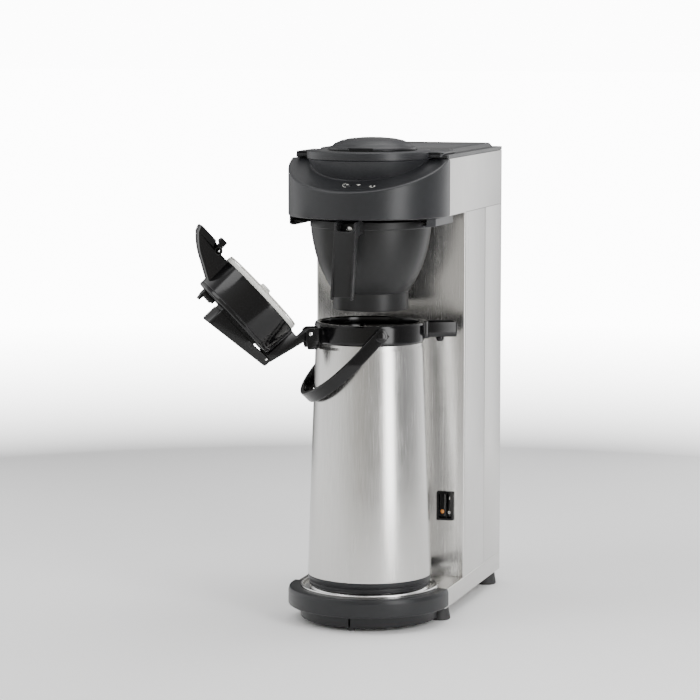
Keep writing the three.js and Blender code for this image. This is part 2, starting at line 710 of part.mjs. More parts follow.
function buildWaterPath(machine) {
  const low = headBottom + 15.5;
  const y = basket.centreY;
  const wall = 2;
  const tankTop = headTop - 9;
  const tankX = halfWidth - 13.5;
  const tankY = [20, columnRear - 14];
  const outlet = [50, columnRear - 36];
  const tank = cut(
    join(
      rod(56, low, tankTop + 4, 0, y, 32),
      block([-tankX, tankX], tankY, [low, tankTop]),
      rod(6, low - 12, low + 1, ...outlet, 16),
    ),
    rod(56 - wall, low + wall, tankTop + 5, 0, y, 32),
    block(
      [-tankX + wall, tankX - wall],
      [tankY[0] + wall, tankY[1] - wall],
      [low + wall, tankTop + 5],
    ),
    rod(4, low - 13, low + 3, ...outlet, 16),
  );
  node(machine, "water_reservoir", tank, silicone);

  const sprayTop = headBottom - 0.7;
  const spray = join(
    rod(38, sprayTop - 2.8, sprayTop, 0, y, 32),
    rod(9, sprayTop - 0.5, headBottom + 13, 0, y, 16),
  );
  node(machine, "spray_head", spray, blackPlastic);

  const [stubLow, stubHigh] = [heater.low - heater.stub, heater.high + heater.stub];
  const heaterBody = join(
    rod(heater.radius, heater.low, heater.high, heater.x, heaterY, 32),
    rod(5, stubLow, stubHigh, heater.x, heaterY, 12),
  );
  node(machine, "flow_heater", heaterBody, aluminium);

  const pipeZ = headBottom + 8.5;
  const riser = bent(
    [
      [heater.x, heaterY, stubHigh + GAP],
      [heater.x, heaterY, heater.high + 60],
      [heater.x, heaterY - 4, headBottom - 70],
      [-12, columnFront + 55, headBottom - 22],
      [-3, columnFront + 38, headBottom + 3],
      [0, columnFront + 15, pipeZ],
      [0, 60, pipeZ],
      [0, y + 9 + GAP, pipeZ],
    ],
    4,
    20,
  );
  node(machine, "riser_tube", riser, silicone);

  const hose = bent(
    [
      [...outlet, low - 12 - GAP],
      [...outlet, 400],
      [...outlet, 200],
      [46, outlet[1] - 4, 140],
      [24, outlet[1] - 25, 105],
      [-10, heaterY + 13, 92],
      [heater.x, heaterY, stubLow - 12],
      [heater.x, heaterY, stubLow - GAP],
    ],
    6,
    22,
  );
  node(machine, "supply_hose", hose, silicone);

  const ringZ = [220, 240];
  const strap = cut(
    join(
      rod(heater.radius + 3, ...ringZ, heater.x, heaterY, 32),
      block([-halfWidth + SHEET + GAP, heater.x - heater.radius - 1], [heaterY - 1, heaterY + 1.5], ringZ),
    ),
    rod(heater.radius + GAP, ringZ[0] - 1, ringZ[1] + 1, heater.x, heaterY, 32),
  );
  node(machine, "heater_bracket", strap, steel);

  const face = heaterY - heater.radius - GAP;
  const clipped = [
    ["thermostat", heater.high - 40],
    ["thermal_cutout", heater.low + 40],
  ];
  for (const [name, z] of clipped) {
    const cap = rodY(9, face - 5, face, heater.x, z);
    const terminal = rodY(5, face - 8, face - 4, heater.x, z);
    node(machine, name, join(cap, terminal), aluminium);
  }

  const boardX = halfWidth - SHEET - GAP;
  const boardY = columnSeam + 11;
  const boardEnd = columnRear - 14;
  const posts = [];
  for (const z of [335, 430]) {
    for (const y of [boardY + 5, boardEnd - 10]) {
      posts.push(block([boardX - 7, boardX], [y, y + 5], [z, z + 5]));
    }
  }
  const circuit = join(
    block([boardX - 8, boardX - 6.4], [boardY, boardEnd], [330, 440]),
    ...posts,
    block([boardX - 24, boardX - 7.5], [boardY + 10, boardY + 32], [345, 375]),
    block([boardX - 20, boardX - 7.5], [boardEnd - 26, boardEnd - 6], [390, 420]),
  );
  node(machine, "control_board", circuit, board);
}

// ---------------------------------------------------------------- airpot

function buildAirpot(machine) {
  const airpot = new THREE.Group();
  airpot.rotation.z = pot.turn;
  machine.add(airpot);

  const { footRadius, neckRadius, sheet, linerWall } = pot;
  const low = potFloor;
  const baseRing = turned([
    [0, low + 6],
    [footRadius - 14, low + 6],
    [footRadius - 12, low],
    [footRadius - 0.5, low],
    [footRadius, low + 1.2],
    [footRadius, low + 5.7],
    [bodyRadius - 0.3, low + 6.7],
    [bodyRadius, low + pot.baseHeight],
    [0, low + pot.baseHeight],
  ]);
  node(airpot, "airpot_base", baseRing, blackPlastic);

  const shell = turned([
    [bodyRadius, shellBottom],
    [shoulderRadius, shellTop - 5.7],
    [neckRadius, shellTop - 2.2],
    [neckRadius, shellTop],
    [neckRadius - sheet, shellTop],
    [neckRadius - sheet, shellTop - 2.5],
    [shoulderRadius - sheet, shellTop - 5.9],
    [bodyRadius - sheet, shellBottom],
  ]);
  node(airpot, "airpot_shell", shell, steel);

  const linerRadius = bodyRadius - 9.6;
  const linerTop = shoulderRadius - 6.5;
  const liner = turned([
    [0, shellBottom + 6.3],
    [linerRadius - 11, shellBottom + 6.3],
    [linerRadius, shellBottom + 17.3],
    [linerTop, shellTop - 46.7],
    [linerMouth + linerWall, shellTop - 12.7],
    [linerMouth + linerWall, shellTop - 0.7],
    [linerMouth, shellTop - 0.7],
    [linerMouth, shellTop - 13.7],
    [linerTop - linerWall - 0.3, shellTop - 47.7],
    [linerRadius - linerWall - 0.3, shellBottom + 18.3],
    [linerRadius - 12, shellBottom + 8.7],
    [0, shellBottom + 8.7],
  ]);
  node(airpot, "airpot_liner", liner, brightSteel);
  const gasket = turned([
    [linerMouth + 0.5, shellTop - 0.4],
    [linerMouth + 5.5, shellTop - 0.4],
    [linerMouth + 5.5, shellTop + 2.3],
    [linerMouth + 0.5, shellTop + 2.3],
  ]);
  node(airpot, "neck_gasket", gasket, silicone);

  buildAirpotCollar(airpot);
  buildBail(airpot);
  buildAirpotLid(airpot);
}

function buildAirpotCollar(airpot) {
  const [b, t] = [collarBottom, potTop];
  const { radius, opening, mouth, ledge } = collar;
  const ring = turned(
    [
      [radius - 1.7, b],
      [radius - 0.2, b + 2],
      [radius, b + 13],
      [radius - 0.6, t - 1.5],
      [radius - 2, t],
      [opening + 1.5, t],
      [opening + 0.3, t - 1.5],
      [opening, t - ledge],
      [mouth, t - ledge - 0.5],
      [mouth - 2, t - 20],
      [linerMouth + 6.5, b + 2.6],
      [linerMouth + 6.5, b],
    ],
  );
  const boxTop = t - spout.drop;
  const boxLow = boxTop - spout.depth;
  const { halfWidth: w, wall } = spout;
  const box = block([radius - 6, spoutEnd], [-w, w], [boxLow, boxTop]);
  const flange = block([radius - 4, radius + 0.5], [-w - 3, w + 3], [boxLow - 1, t - 0.3]);
  const cavity = block([radius + 2, spoutEnd - wall], [-w + wall, w - wall], [boxLow + wall, t + 1]);
  const outletHole = rod(3, boxLow - 1, boxLow + wall + 1, nozzleReach, 0, 12);

  const { knuckle, halfWidth: half, lug, pinRadius } = lidHinge;
  const reach = hingeReach;
  const lugShape = [
    [-radius + 6, b + 1],
    [-radius - 0.5, b - 1.5],
    [-reach - 1, b - 1.5],
    [-reach - knuckle, hingeZ - 4],
    [-reach - knuckle, hingeZ + 3],
    [-reach - 2, hingeZ + knuckle + 1],
    [-radius + 6, hingeZ + knuckle + 1],
  ];
  const lugs = [-1, 1].map((side) => {
    const ys = [side * (half + GAP), side * (half + GAP + lug)].sort((p, q) => p - q);
    return across(lugShape, ...ys);
  });
  const pivotZ = t - bail.drop;
  const wells = rod(opening, t - ledge, t + 1, 0, 0, SIDES);
  const throat = rod(mouth - 0.5, b - 5, t + 1, 0, 0, SIDES);
  const body = cut(
    join(cut(join(ring, box, flange, ...lugs), wells, cavity, outletHole), ring),
    rodY(pinRadius + GAP, -60, 60, -reach, hingeZ),
    rodY(2.6, -radius - 5, radius + 5, 0, pivotZ, 12),
  );
  // Whatever the box and lugs left inside the mouth is cleared, below the ledge only.
  const within = [-collar.opening, collar.opening];
  const inner = common(throat, block(within, within, [t - 18, t + 1]));
  node(airpot, "airpot_collar", cut(body, inner), glossPlastic);

  const nozzle = cut(
    rod(5, boxLow - 6, boxLow - GAP, nozzleReach, 0, 16),
    rod(3, boxLow - 7, boxLow, nozzleReach, 0, 12),
  );
  node(airpot, "spout_nozzle", nozzle, glossPlastic);

  const legZ = t - 13.5;
  const tubeX = linerMouth - 13.5;
  const siphon = bent(
    [
      [tubeX, 0, shellBottom + 22],
      [tubeX, 0, shellBottom + 150],
      [tubeX, 0, legZ - 26],
      [tubeX + 0.6, 0, legZ - 12],
      [tubeX + 5, 0, legZ - 3],
      [mouth - 14, 0, legZ],
      [mouth - 2.6, 0, legZ],
    ],
    4,
    14,
  );
  node(airpot, "siphon_tube", siphon, whitePlastic);
}

function buildBail(airpot) {
  const pivotZ = potTop - bail.drop;
  const { thick, width } = bail;
  const length = bailLength;
  const outer = bailInner + thick;
  const centre = -(length - outer);
  const loop = (radius, end) =>
    shapeOf([
      [end, radius],
      ...arc(radius, Math.PI / 2, (3 * Math.PI) / 2, 20, centre),
      [end, -radius],
    ]);
  const strap = cut(
    plate(loop(outer, width / 2), -width / 2, width / 2),
    plate(loop(bailInner, width), -width, width),
    rodY(2.6, -outer - 5, outer + 5, 0, 0, 12),
  );
  const mesh = node(airpot, "bail", strap, glossPlastic);
  mesh.position.z = pivotZ;
  mesh.rotation.y = -bail.hang;

  for (const side of [-1, 1]) {
    const shank = [side * (collar.opening - 0.5), side * (outer + 1)].sort((p, q) => p - q);
    const cap = [side * (outer + GAP), side * (outer + 2.5)].sort((p, q) => p - q);
    const pin = join(rodY(2.3, ...shank, 0, pivotZ, 12), rodY(5, ...cap, 0, pivotZ, 16));
    node(airpot, side < 0 ? "bail_pin_front" : "bail_pin_rear", pin, glossPlastic);
  }
}

// The lid is drawn closed, in the airpot's frame, then hung on its hinge and swung open.
function buildAirpotLid(airpot) {
  const group = new THREE.Group();
  group.position.set(-hingeReach, 0, hingeZ);
  group.rotation.y = -lid.open;
  airpot.add(group);
  const piece = (name, geometry, finish) =>
    node(group, name, geometry.clone().translate(hingeReach, 0, -hingeZ), finish);

  const t = potTop;
  const drumLow = t + GAP;
  const drumTop = drumLow + lid.height;
  // A round hole for a pin that lies across the lid.
  const pinHole = (radius, x, z, sides) => rodY(radius + GAP, -40, 40, x, z, sides);
  const r = lidRadius;

  const drumOuter = turned(
    [
      [0, drumLow],
      [r, drumLow],
      [r, drumTop - 5.5],
      [r - 2.5, drumTop],
      [0, drumTop],
    ],
  );
  const drumRoom = turned([
    [0, drumLow - 2],
    [r - lid.wall, drumLow - 2],
    [r - lid.wall, drumTop - 6.5],
    [r - lid.wall - 1.8, drumTop - 2.5],
    [0, drumTop - 2.5],
  ]);
  const visor = across(
    [
      [r - 9, t + 0.8],
      [r - 9, t + 36],
      [r - 4, t + 33.5],
      [latchReach - 0.6, t + 24.5],
      [hoodEnd - 22, t + 16.5],
      [hoodEnd - 4, t + 2.5],
      [hoodEnd, t - 5.5],
      [hoodEnd, t - 6.5],
      [latchReach + 11.4, t - 6.5],
      [latchReach + 8.4, t + 0.8],
    ],
    -hood.halfWidth,
    hood.halfWidth,
  );
  const latchZ = t + latch.rise;
  const latchLugs = rodY(latch.boss, -hood.halfWidth, hood.halfWidth, latchReach, latchZ);
  const visorRoom = across(
    [
      [r + 1, t - 10],
      [r + 1, t + 27.5],
      [latchReach - 1.1, t + 21.2],
      [hoodEnd - 23.5, t + 13.6],
      [hoodEnd - 6, t - 0.2],
      [hoodEnd - hood.wall, t - 6],
      [hoodEnd - hood.wall, t - 10],
    ],
    -hood.halfWidth + hood.wall,
    hood.halfWidth - hood.wall,
  );
  const { knuckle, pinRadius, halfWidth: half } = lidHinge;
  const reach = hingeReach;
  const arm = across(
    [
      [-r + 11, drumTop - 1.5],
      [-r + 11, drumTop],
      [-r - 1, drumTop + 8],
      [-r - 8, drumTop + 3],
      [-reach - 4.5, t - 6],
      [-reach - knuckle, hingeZ],
      [-reach + knuckle, hingeZ],
      [-reach + knuckle + 0.4, t + 0.8],
      [-r + 1, t + 0.8],
      [-r + 1, drumTop - 1.5],
    ],
    -half,
    half,
  );
  const channel = across(
    [
      [-r - 5.5, drumTop + 8],
      [-r - 10, drumTop + 8],
      [-reach - 20, t - 4],
      [-reach, t - 4],
      [-r - 4.8, drumTop + 2],
    ],
    -half + 2.6,
    half - 2.6,
  );
  const leverZ = t + lever.heelRise;
  const leverSlot = plate(
    shapeOf([
      [-38, -lever.halfWidth + 2],
      [lever.tip + 4, -lever.halfWidth - 2.5],
      [lever.tip + 4, lever.halfWidth + 2.5],
      [-38, lever.halfWidth - 2],
    ]),
    drumTop - 5,
    drumTop + 1,
  );
  const shell = cut(
    join(drumOuter, visor, latchLugs, arm, rodY(knuckle, -half, half, -reach, hingeZ)),
    drumRoom,
    visorRoom,
    channel,
    leverSlot,
    pinHole(pinRadius, -reach, hingeZ),
    pinHole(latch.pinRadius, latchReach, latchZ, 12),
    pinHole(lever.pinRadius, -leverHeel, leverZ, 12),
  );
  piece("lid_shell", shell, glossPlastic);

  const pinEnd = half + GAP + lidHinge.lug + 2;
  const hingePin = rodY(pinRadius, -pinEnd, pinEnd, -reach, hingeZ);
  node(airpot, "lid_hinge_pin", hingePin, brightSteel);
  const latchEnd = hood.halfWidth + 0.5;
  piece("latch_pin", rodY(latch.pinRadius, -latchEnd, latchEnd, latchReach, latchZ, 12), brightSteel);
  const leverEnd = lever.rearHalf + 3.8;
  piece("lever_pin", rodY(lever.pinRadius, -leverEnd, leverEnd, -leverHeel, leverZ, 12), brightSteel);

  const under = t - lid.discDrop;
  const disc = turned(
    [
      [0, under - 8],
      [6, under - 8],
      [7, under - 6],
      [7, under - 2],
      [9, under],
      [40, under],
      [41, under - 1],
      [44, under - 1],
      [45, under],
      [discRadius - 1, under],
      [discRadius, under + 1],
      [discRadius, t],
      [0, t],
    ],
  );
  piece("lid_inner_disc", disc, whitePlastic);
  const sealRing = turned([
    [discRadius - 4, under - 2.2],
    [discRadius - 1, under - 2.2],
    [discRadius - 0.2, under - GAP],
    [discRadius - 4, under - GAP],
  ]);
  piece("lid_seal", sealRing, silicone);

  // Bellows: a thin folded wall, open at the bottom.
  const fold = { count: 3, pitch: 9, inner: 20, outer: 26, wall: 1.6, lift: 1.5 };
  const outerWall = [];
  const innerWall = [];
  for (let i = 0; i <= 2 * fold.count; i++) {
    const bulge = i % 2 ? fold.outer : fold.inner;
    const z = t + fold.lift + (i * fold.pitch) / 2;
    outerWall.unshift([bulge, z]);
    if (i < 2 * fold.count) innerWall.push([bulge - fold.wall, z]);
  }
  const bellowsTop = t + fold.lift + fold.count * fold.pitch;
  const closed = [
    [0, bellowsTop + 2],
    [fold.inner - 4, bellowsTop + 2],
    ...outerWall,
    ...innerWall,
    [fold.inner - 6, bellowsTop - 1],
    [0, bellowsTop - 1],
  ];
  piece("lid_bellows", turned(closed, 20), rubber);

  buildLidLever(piece, leverZ);
  const tab = { low: drumTop + GAP, from: lever.tip + 9, to: lever.tip + 28, halfWidth: 9 };
  const lock = join(
    block([tab.from, tab.to], [-tab.halfWidth, tab.halfWidth], [tab.low, tab.low + 6]),
    across(
      [
        [tab.from + 2, tab.low + 5],
        [tab.from + 5, tab.low + 14],
        [tab.from + 9, tab.low + 14],
        [tab.from + 13, tab.low + 5],
      ],
      -tab.halfWidth + 1.5,
      tab.halfWidth - 1.5,
    ),
  );
  piece("pump_lock", lock, glossPlastic);

  const hookLow = latchZ - latch.length;
  const hook = join(
    rodY(latch.hub, -latch.halfWidth, latch.halfWidth, latchReach, latchZ),
    across(
      [
        [latchReach - 3, latchZ],
        [latchReach - 2, hookLow],
        [latchReach + 7, hookLow],
        [latchReach + 7, hookLow + 3],
        [latchReach + 3, hookLow + 5],
        [latchReach + 3.5, latchZ],
      ],
      -latch.halfWidth,
      latch.halfWidth,
    ),
  );
  piece("lid_latch", cut(hook, pinHole(latch.pinRadius, latchReach, latchZ, 12)), glossPlastic);
}

function buildLidLever(piece, heel) {
  const t = potTop;
  const { tip } = lever;
  const rear = -leverHeel - 6;
  const plan = (inset, rearX) =>
    shapeOf([
      [rearX, -lever.rearHalf + inset],
      [-30, -lever.halfWidth + 3 + inset],
      [tip - inset, -lever.halfWidth + inset],
      [tip - inset, lever.halfWidth - inset],
      [-30, lever.halfWidth - 3 - inset],
      [rearX, lever.rearHalf - inset],
    ]);
  const wedge = (down) =>
    across(
      [
        [-90, heel - 3.4 - 8 * down],
        [-56, heel - 3.4 - 8 * down],
        [-50, heel - 1 - 8 * down],
        [tip + 5, heel - 8 * down],
        [tip + 5, heel + 3.6 + lever.rise - lever.wall * down],
        [-90, heel + 3.6 - lever.wall * down],
      ],
      -40,
      40,
    );
  const outside = common(plate(plan(0, rear), t + 30, t + 90), wedge(0));
  const inside = common(plate(plan(lever.wall, rear - 7), t + 20, t + 90), wedge(1));
  const mouth = lever.rearHalf - 2;
  const rearMouth = block([rear - 7, -leverHeel + 8], [-mouth, mouth], [t + 30, heel + 5]);
  const bore = rodY(lever.pinRadius + GAP, -40, 40, -leverHeel, heel, 12);
  piece("pump_lever", cut(outside, inside, rearMouth, bore), glossPlastic);
}

// ---------------------------------------------------------------- the whole brewer

const machine = new THREE.Group();
buildBase(machine);
buildColumn(machine);
buildSwitch(machine);
buildHead(machine);
buildTop(machine);
buildRails(machine);
buildBasket(machine);
buildWaterPath(machine);
buildAirpot(machine);

machine.updateMatrixWorld(true);
const box = new THREE.Box3().setFromObject(machine, true);
const centre = box.getCenter(new THREE.Vector3());
machine.position.set(-centre.x, -centre.y, -box.min.z);

export default machine;
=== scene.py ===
"""The looks of a commercial coffee brewer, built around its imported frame.

Shapes are drawn in millimetres about the airpot's upright axis, with Z from the counter, and moved
into the frame's own metres when their mesh is made.
"""

import json
import math

import bmesh
import bpy
from mathutils import Matrix, Vector


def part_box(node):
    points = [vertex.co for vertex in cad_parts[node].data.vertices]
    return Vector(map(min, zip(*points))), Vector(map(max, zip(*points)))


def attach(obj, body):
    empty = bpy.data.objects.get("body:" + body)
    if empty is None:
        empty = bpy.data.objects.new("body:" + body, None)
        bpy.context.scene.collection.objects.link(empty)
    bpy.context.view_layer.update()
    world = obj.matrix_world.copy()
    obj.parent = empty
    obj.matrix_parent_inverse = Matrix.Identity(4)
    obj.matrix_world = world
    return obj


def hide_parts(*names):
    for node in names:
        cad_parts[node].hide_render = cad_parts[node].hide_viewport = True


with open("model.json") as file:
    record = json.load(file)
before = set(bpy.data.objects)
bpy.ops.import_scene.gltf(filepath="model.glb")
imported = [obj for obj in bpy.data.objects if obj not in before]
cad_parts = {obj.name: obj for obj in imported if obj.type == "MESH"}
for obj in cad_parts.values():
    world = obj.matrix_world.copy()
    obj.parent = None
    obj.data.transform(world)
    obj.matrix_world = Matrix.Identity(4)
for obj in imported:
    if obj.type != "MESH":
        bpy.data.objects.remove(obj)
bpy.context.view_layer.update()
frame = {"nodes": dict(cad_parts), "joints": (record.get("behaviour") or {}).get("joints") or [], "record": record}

MM = 0.001
ROUND = 144  # sides of a large turned piece
SHEET = 1.2  # thickness of the folded steel
GAP = 0.3  # between pieces that don't touch

# ---- places read from the frame

base_low, base_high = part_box("airpot_base")
AXIS = (base_low + base_high) / 2
JOINTS = {joint["name"]: joint for joint in frame["joints"]}


def own(point):
    """A point of the frame in the millimetres used here."""
    return Vector(((point[0] - AXIS.x) / MM, (point[1] - AXIS.y) / MM, point[2] / MM))


def low(node):
    return own(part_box(node)[0])


def high(node):
    return own(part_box(node)[1])


def ends(node):
    return low(node), high(node)


def centre_of(node):
    return (low(node) + high(node)) / 2


def reach(node):
    """The node's largest distance from the airpot's axis."""
    return max(own(v.co).xy.length for v in frame["nodes"][node].data.vertices)


lid_axis = JOINTS["airpot_lid_hinge"]["axis"]
TURN = math.atan2(-lid_axis[0], lid_axis[1])
OPEN = math.radians(JOINTS["airpot_lid_hinge"]["range_deg"][1])
POT = Matrix.Rotation(TURN, 4, "Z")
HINGE = POT.inverted() @ own(JOINTS["airpot_lid_hinge"]["pos_m"])
HINGE_AT = (HINGE.x, HINGE.z)
LID = POT @ Matrix.Translation(HINGE) @ Matrix.Rotation(-OPEN, 4, "Y") @ Matrix.Translation(-HINGE)
PLAIN = Matrix.Identity(4)
LID_BASE = high("airpot_collar").z  # the rim that the airpot's lid closes on

# ---- shapes


def arc(radius, start, end, steps, centre=(0, 0)):
    turns = [start + (end - start) * i / steps for i in range(steps + 1)]
    return [(centre[0] + radius * math.cos(a), centre[1] + radius * math.sin(a)) for a in turns]


def circle(radius, centre=(0, 0), sides=48):
    return arc(radius, 0, 2 * math.pi, sides, centre)[:-1]


def rounded(points, radius=0.8, steps=3, closed=True):
    """The outline with rounded corners. A point's third value is that corner's own radius."""
    smooth = []
    for i, point in enumerate(points):
        at = Vector(point[:2])
        size = point[2] if len(point) > 2 else radius
        to_last = Vector(points[i - 1][:2]) - at
        to_next = Vector(points[(i + 1) % len(points)][:2]) - at
        end = not closed and i in (0, len(points) - 1)
        if end or size == 0 or to_last.angle(to_next) > math.radians(172):
            smooth.append(tuple(at))
            continue
        run = size / math.tan(to_last.angle(to_next) / 2)
        run = min(run, 0.45 * to_last.length, 0.45 * to_next.length)
        start, stop = at + to_last.normalized() * run, at + to_next.normalized() * run
        for k in range(steps + 1):
            t = k / steps
            smooth.append(tuple(start * (1 - t) ** 2 + at * 2 * t * (1 - t) + stop * t * t))
    return smooth


def rectangle(xs, ys, corner=2.0, steps=4):
    corners = [(xs[0], ys[0]), (xs[1], ys[0]), (xs[1], ys[1]), (xs[0], ys[1])]
    return rounded(corners, corner, steps)


def inset(outline, distance):
    """The outline moved inwards."""
    points = [Vector(p) for p in outline]
    area = sum(a.cross(b) for a, b in zip(points, points[1:] + points[:1]))
    side = 1 if area > 0 else -1
    moved = []
    for i, point in enumerate(points):
        before = (point - points[i - 1]).normalized()
        after = (points[(i + 1) % len(points)] - point).normalized()
        normal = Vector((-(before + after).y, (before + after).x)).normalized() * side
        spread = max(0.5, normal.dot(Vector((-before.y, before.x)) * side))
        moved.append(tuple(point + normal * distance / spread))
    return moved


def loft(rings, closed=False):
    """A closed skin over rings that have equally many points. Open lofts are capped."""
    count = len(rings[0])
    points = [p for ring in rings for p in ring]
    faces = []
    for i in range(len(rings) if closed else len(rings) - 1):
        a, b = i * count, ((i + 1) % len(rings)) * count
        for j in range(count):
            k = (j + 1) % count
            faces.append((a + j, a + k, b + k, b + j))
    if not closed:
        faces.append(tuple(reversed(range(count))))
        faces.append(tuple(range(len(points) - count, len(points))))
    return points, faces


def turned(profile, sides=ROUND, centre=(0, 0)):
    """A solid of revolution about Z from (radius, height) points."""
    rings = [[(x, y, z) for x, y in circle(max(r, 1e-6), centre, sides)] for r, z in profile]
    return loft(rings, closed=profile[0][0] != 0)


def spun(points, radius=0.8, steps=3, sides=ROUND, centre=(0, 0)):
    """A solid of revolution whose profile has rounded corners."""
    return turned(rounded(points, radius, steps, points[0][0] != 0), sides, centre)


def across(side, near, far):
    """The span between two distances on one side of the middle."""
    return sorted((side * near, side * far))


PLANES = {
    "XY": lambda u, v, w: (u, v, w),
    "YZ": lambda u, v, w: (w, u, v),
    "XZ": lambda u, v, w: (u, w, v),
}


def prism(outline, span, edge=0.5, plane="XY", steps=3):
    """An outline drawn out between two heights, with its end edges rounded."""
    start, end = span
    place = PLANES[plane]
    bend = [math.radians(90) * k / steps for k in range(steps + 1)] if edge else [math.radians(90)]
    lower = [(edge * (1 - math.sin(a)), start + edge * (1 - math.cos(a))) for a in bend]
    upper = [(depth, start + end - w) for depth, w in reversed(lower)]
    rings = [[place(u, v, w) for u, v in inset(outline, depth)] for depth, w in lower + upper]
    return loft(rings)


def brick(xs, ys, zs, edge=0.5, corner=1.0):
    return prism(rectangle(xs, ys, corner), zs, edge)


def rod(radius, span, centre, plane="XZ", edge=0.4, sides=40):
    return prism(circle(radius, centre, sides), span, edge, plane, 2)


def shell(outline, zs, wall, edge=1.0, corner_steps=3):
    """A thin pan: closed at the second height and open at the first."""
    start, end = zs
    up = 1 if end > start else -1
    rings = [(wall, end - up * wall), (wall, start), (0, start)]
    for k in range(corner_steps + 1):
        turn = math.radians(90) * k / corner_steps
        rings.append((edge * (1 - math.cos(turn)), end - up * edge * (1 - math.sin(turn))))
    return loft([[(x, y, z) for x, y in inset(outline, depth)] for depth, z in rings])


def moved(shape, matrix):
    points, faces = shape
    return [tuple(matrix @ Vector(p)) for p in points], faces


# ---- pieces


def mesh_of(shape, place):
    """One closed shape as a Blender mesh in the frame's metres."""
    points, faces = shape
    mesh = bpy.data.meshes.new("shape")
    made = bmesh.new()
    corners = []
    for point in points:
        x, y, z = place @ Vector(point)
        corners.append(made.verts.new((x * MM + AXIS.x, y * MM + AXIS.y, z * MM)))
    for face in faces:
        if len(set(face)) > 2:
            made.faces.new([corners[i] for i in face])
    bmesh.ops.remove_doubles(made, verts=made.verts, dist=2e-6)
    bmesh.ops.dissolve_degenerate(made, edges=made.edges, dist=1e-6)
    bmesh.ops.recalc_face_normals(made, faces=made.faces)
    made.to_mesh(mesh)
    made.free()
    return mesh


def cut_mesh(mesh, cuts, place):
    """The mesh with every cut's shape taken away from it."""
    target = bpy.data.objects.new("target", mesh)
    bpy.context.collection.objects.link(target)
    tools = [bpy.data.objects.new("tool", mesh_of(shape, place)) for shape in cuts]
    for tool in tools:
        bpy.context.collection.objects.link(tool)
        modifier = target.modifiers.new("cut", "BOOLEAN")
        modifier.operation = "DIFFERENCE"
        modifier.object = tool
        modifier.solver = "MANIFOLD"
    bpy.context.view_layer.update()
    seen = target.evaluated_get(bpy.context.evaluated_depsgraph_get())
    result = bpy.data.meshes.new_from_object(seen)
    for spent in [target, *tools]:
        bpy.data.objects.remove(spent)
    return result


def piece(name, body, slot, shapes, nodes=(), place=PLAIN, cuts=(), sharp=32):
    """A named piece that rides on a body and stands for its CAD nodes.

    Its closed shapes are laid together, and cuts are taken away from each of them."""
    whole = bmesh.new()
    for shape in shapes:
        mesh = mesh_of(shape, place)
        whole.from_mesh(cut_mesh(mesh, cuts, place) if cuts else mesh)
    made = bpy.data.objects.new(name, bpy.data.meshes.new(name))
    whole.to_mesh(made.data)
    whole.free()
    bpy.context.collection.objects.link(made)
    made.data.shade_smooth()
    made.data.set_sharp_from_angle(angle=math.radians(sharp))
    made.data.materials.clear()
    made.data.materials.append(FINISH[slot])
    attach(made, body)
    if nodes:
        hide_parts(*nodes)
    return made


# ---- materials


class Nodes:
    """A node tree being built."""

    def __init__(self, name):
        self.material = bpy.data.materials.new(name)
        self.material.use_nodes = True
        self.tree = self.material.node_tree
        self.shader = self.tree.nodes["Principled BSDF"]
        self.place = self.add("ShaderNodeTexCoord").outputs["Object"]

    def add(self, kind, inputs=None, **settings):
        node = self.tree.nodes.new(kind)
        for key, value in settings.items():
            setattr(node, key, value)
        for key, value in (inputs or {}).items():
            if isinstance(value, bpy.types.NodeSocket):
                self.tree.links.new(value, node.inputs[key])
            else:
                node.inputs[key].default_value = value
        return node

    def noise(self, scale, stretch=(1, 1, 1), detail=4, rough=0.55):
        mapped = self.add("ShaderNodeMapping", {"Vector": self.place, "Scale": stretch})
        values = {"Vector": mapped.outputs[0], "Scale": scale, "Detail": detail, "Roughness": rough}
        return self.add("ShaderNodeTexNoise", values).outputs["Fac"]

    def between(self, factor, low_value, high_value, start=0.3, end=0.7):
        limits = {"From Min": start, "From Max": end, "To Min": low_value, "To Max": high_value}
        return self.add("ShaderNodeMapRange", {"Value": factor, **limits}).outputs[0]

    def tint(self, factor, dark, light, start=0.3, end=0.7):
        ramp = self.add("ShaderNodeValToRGB", {"Fac": factor})
        ramp.color_ramp.elements[0].position, ramp.color_ramp.elements[1].position = start, end
        ramp.color_ramp.elements[0].color = (*dark, 1)
        ramp.color_ramp.elements[1].color = (*light, 1)
        return ramp.outputs[0]

    def product(self, first, second):
        """Two colours multiplied."""
        mixed = self.add("ShaderNodeMix", {"Factor": 1.0}, data_type="RGBA", blend_type="MULTIPLY")
        self.tree.links.new(first, mixed.inputs["A"])
        self.tree.links.new(second, mixed.inputs["B"])
        return mixed.outputs["Result"]

    def bump(self, height, strength, distance):
        values = {"Height": height, "Strength": strength, "Distance": distance}
        return self.add("ShaderNodeBump", values).outputs[0]

    def use(self, **sockets):
        for key, value in sockets.items():
            socket = self.shader.inputs[key.replace("_", " ")]
            if isinstance(value, bpy.types.NodeSocket):
                self.tree.links.new(value, socket)
            else:
                socket.default_value = value
        return self.material


def shaded(color, amount):
    return tuple(max(0.0, c * amount) for c in color)


def brushed(name, color, rough, grain, depth):
    """Steel brushed upwards: fine grain lines, slow cloudiness and faint handling marks."""
    n = Nodes(name)
    lines = n.noise(grain, (1, 1, 0.006), 6, 0.7)
    cloud = n.noise(9, (1, 1, 0.5), 3)
    smudge = n.noise(38, (1, 1, 0.7), 5)
    toned = n.tint(lines, shaded(color, 0.90), shaded(color, 1.04))
    marks = n.tint(cloud, (0.94, 0.94, 0.95), (1, 1, 1), 0.25, 0.6)
    both = {0: n.between(lines, rough - 0.05, rough + 0.06), 1: n.between(smudge, -0.02, 0.03)}
    roughness = n.add("ShaderNodeMath", both, operation="ADD")
    return n.use(
        Base_Color=n.product(toned, marks), Metallic=1.0, Roughness=roughness.outputs[0],
        Normal=n.bump(lines, depth, 0.0002),
    )


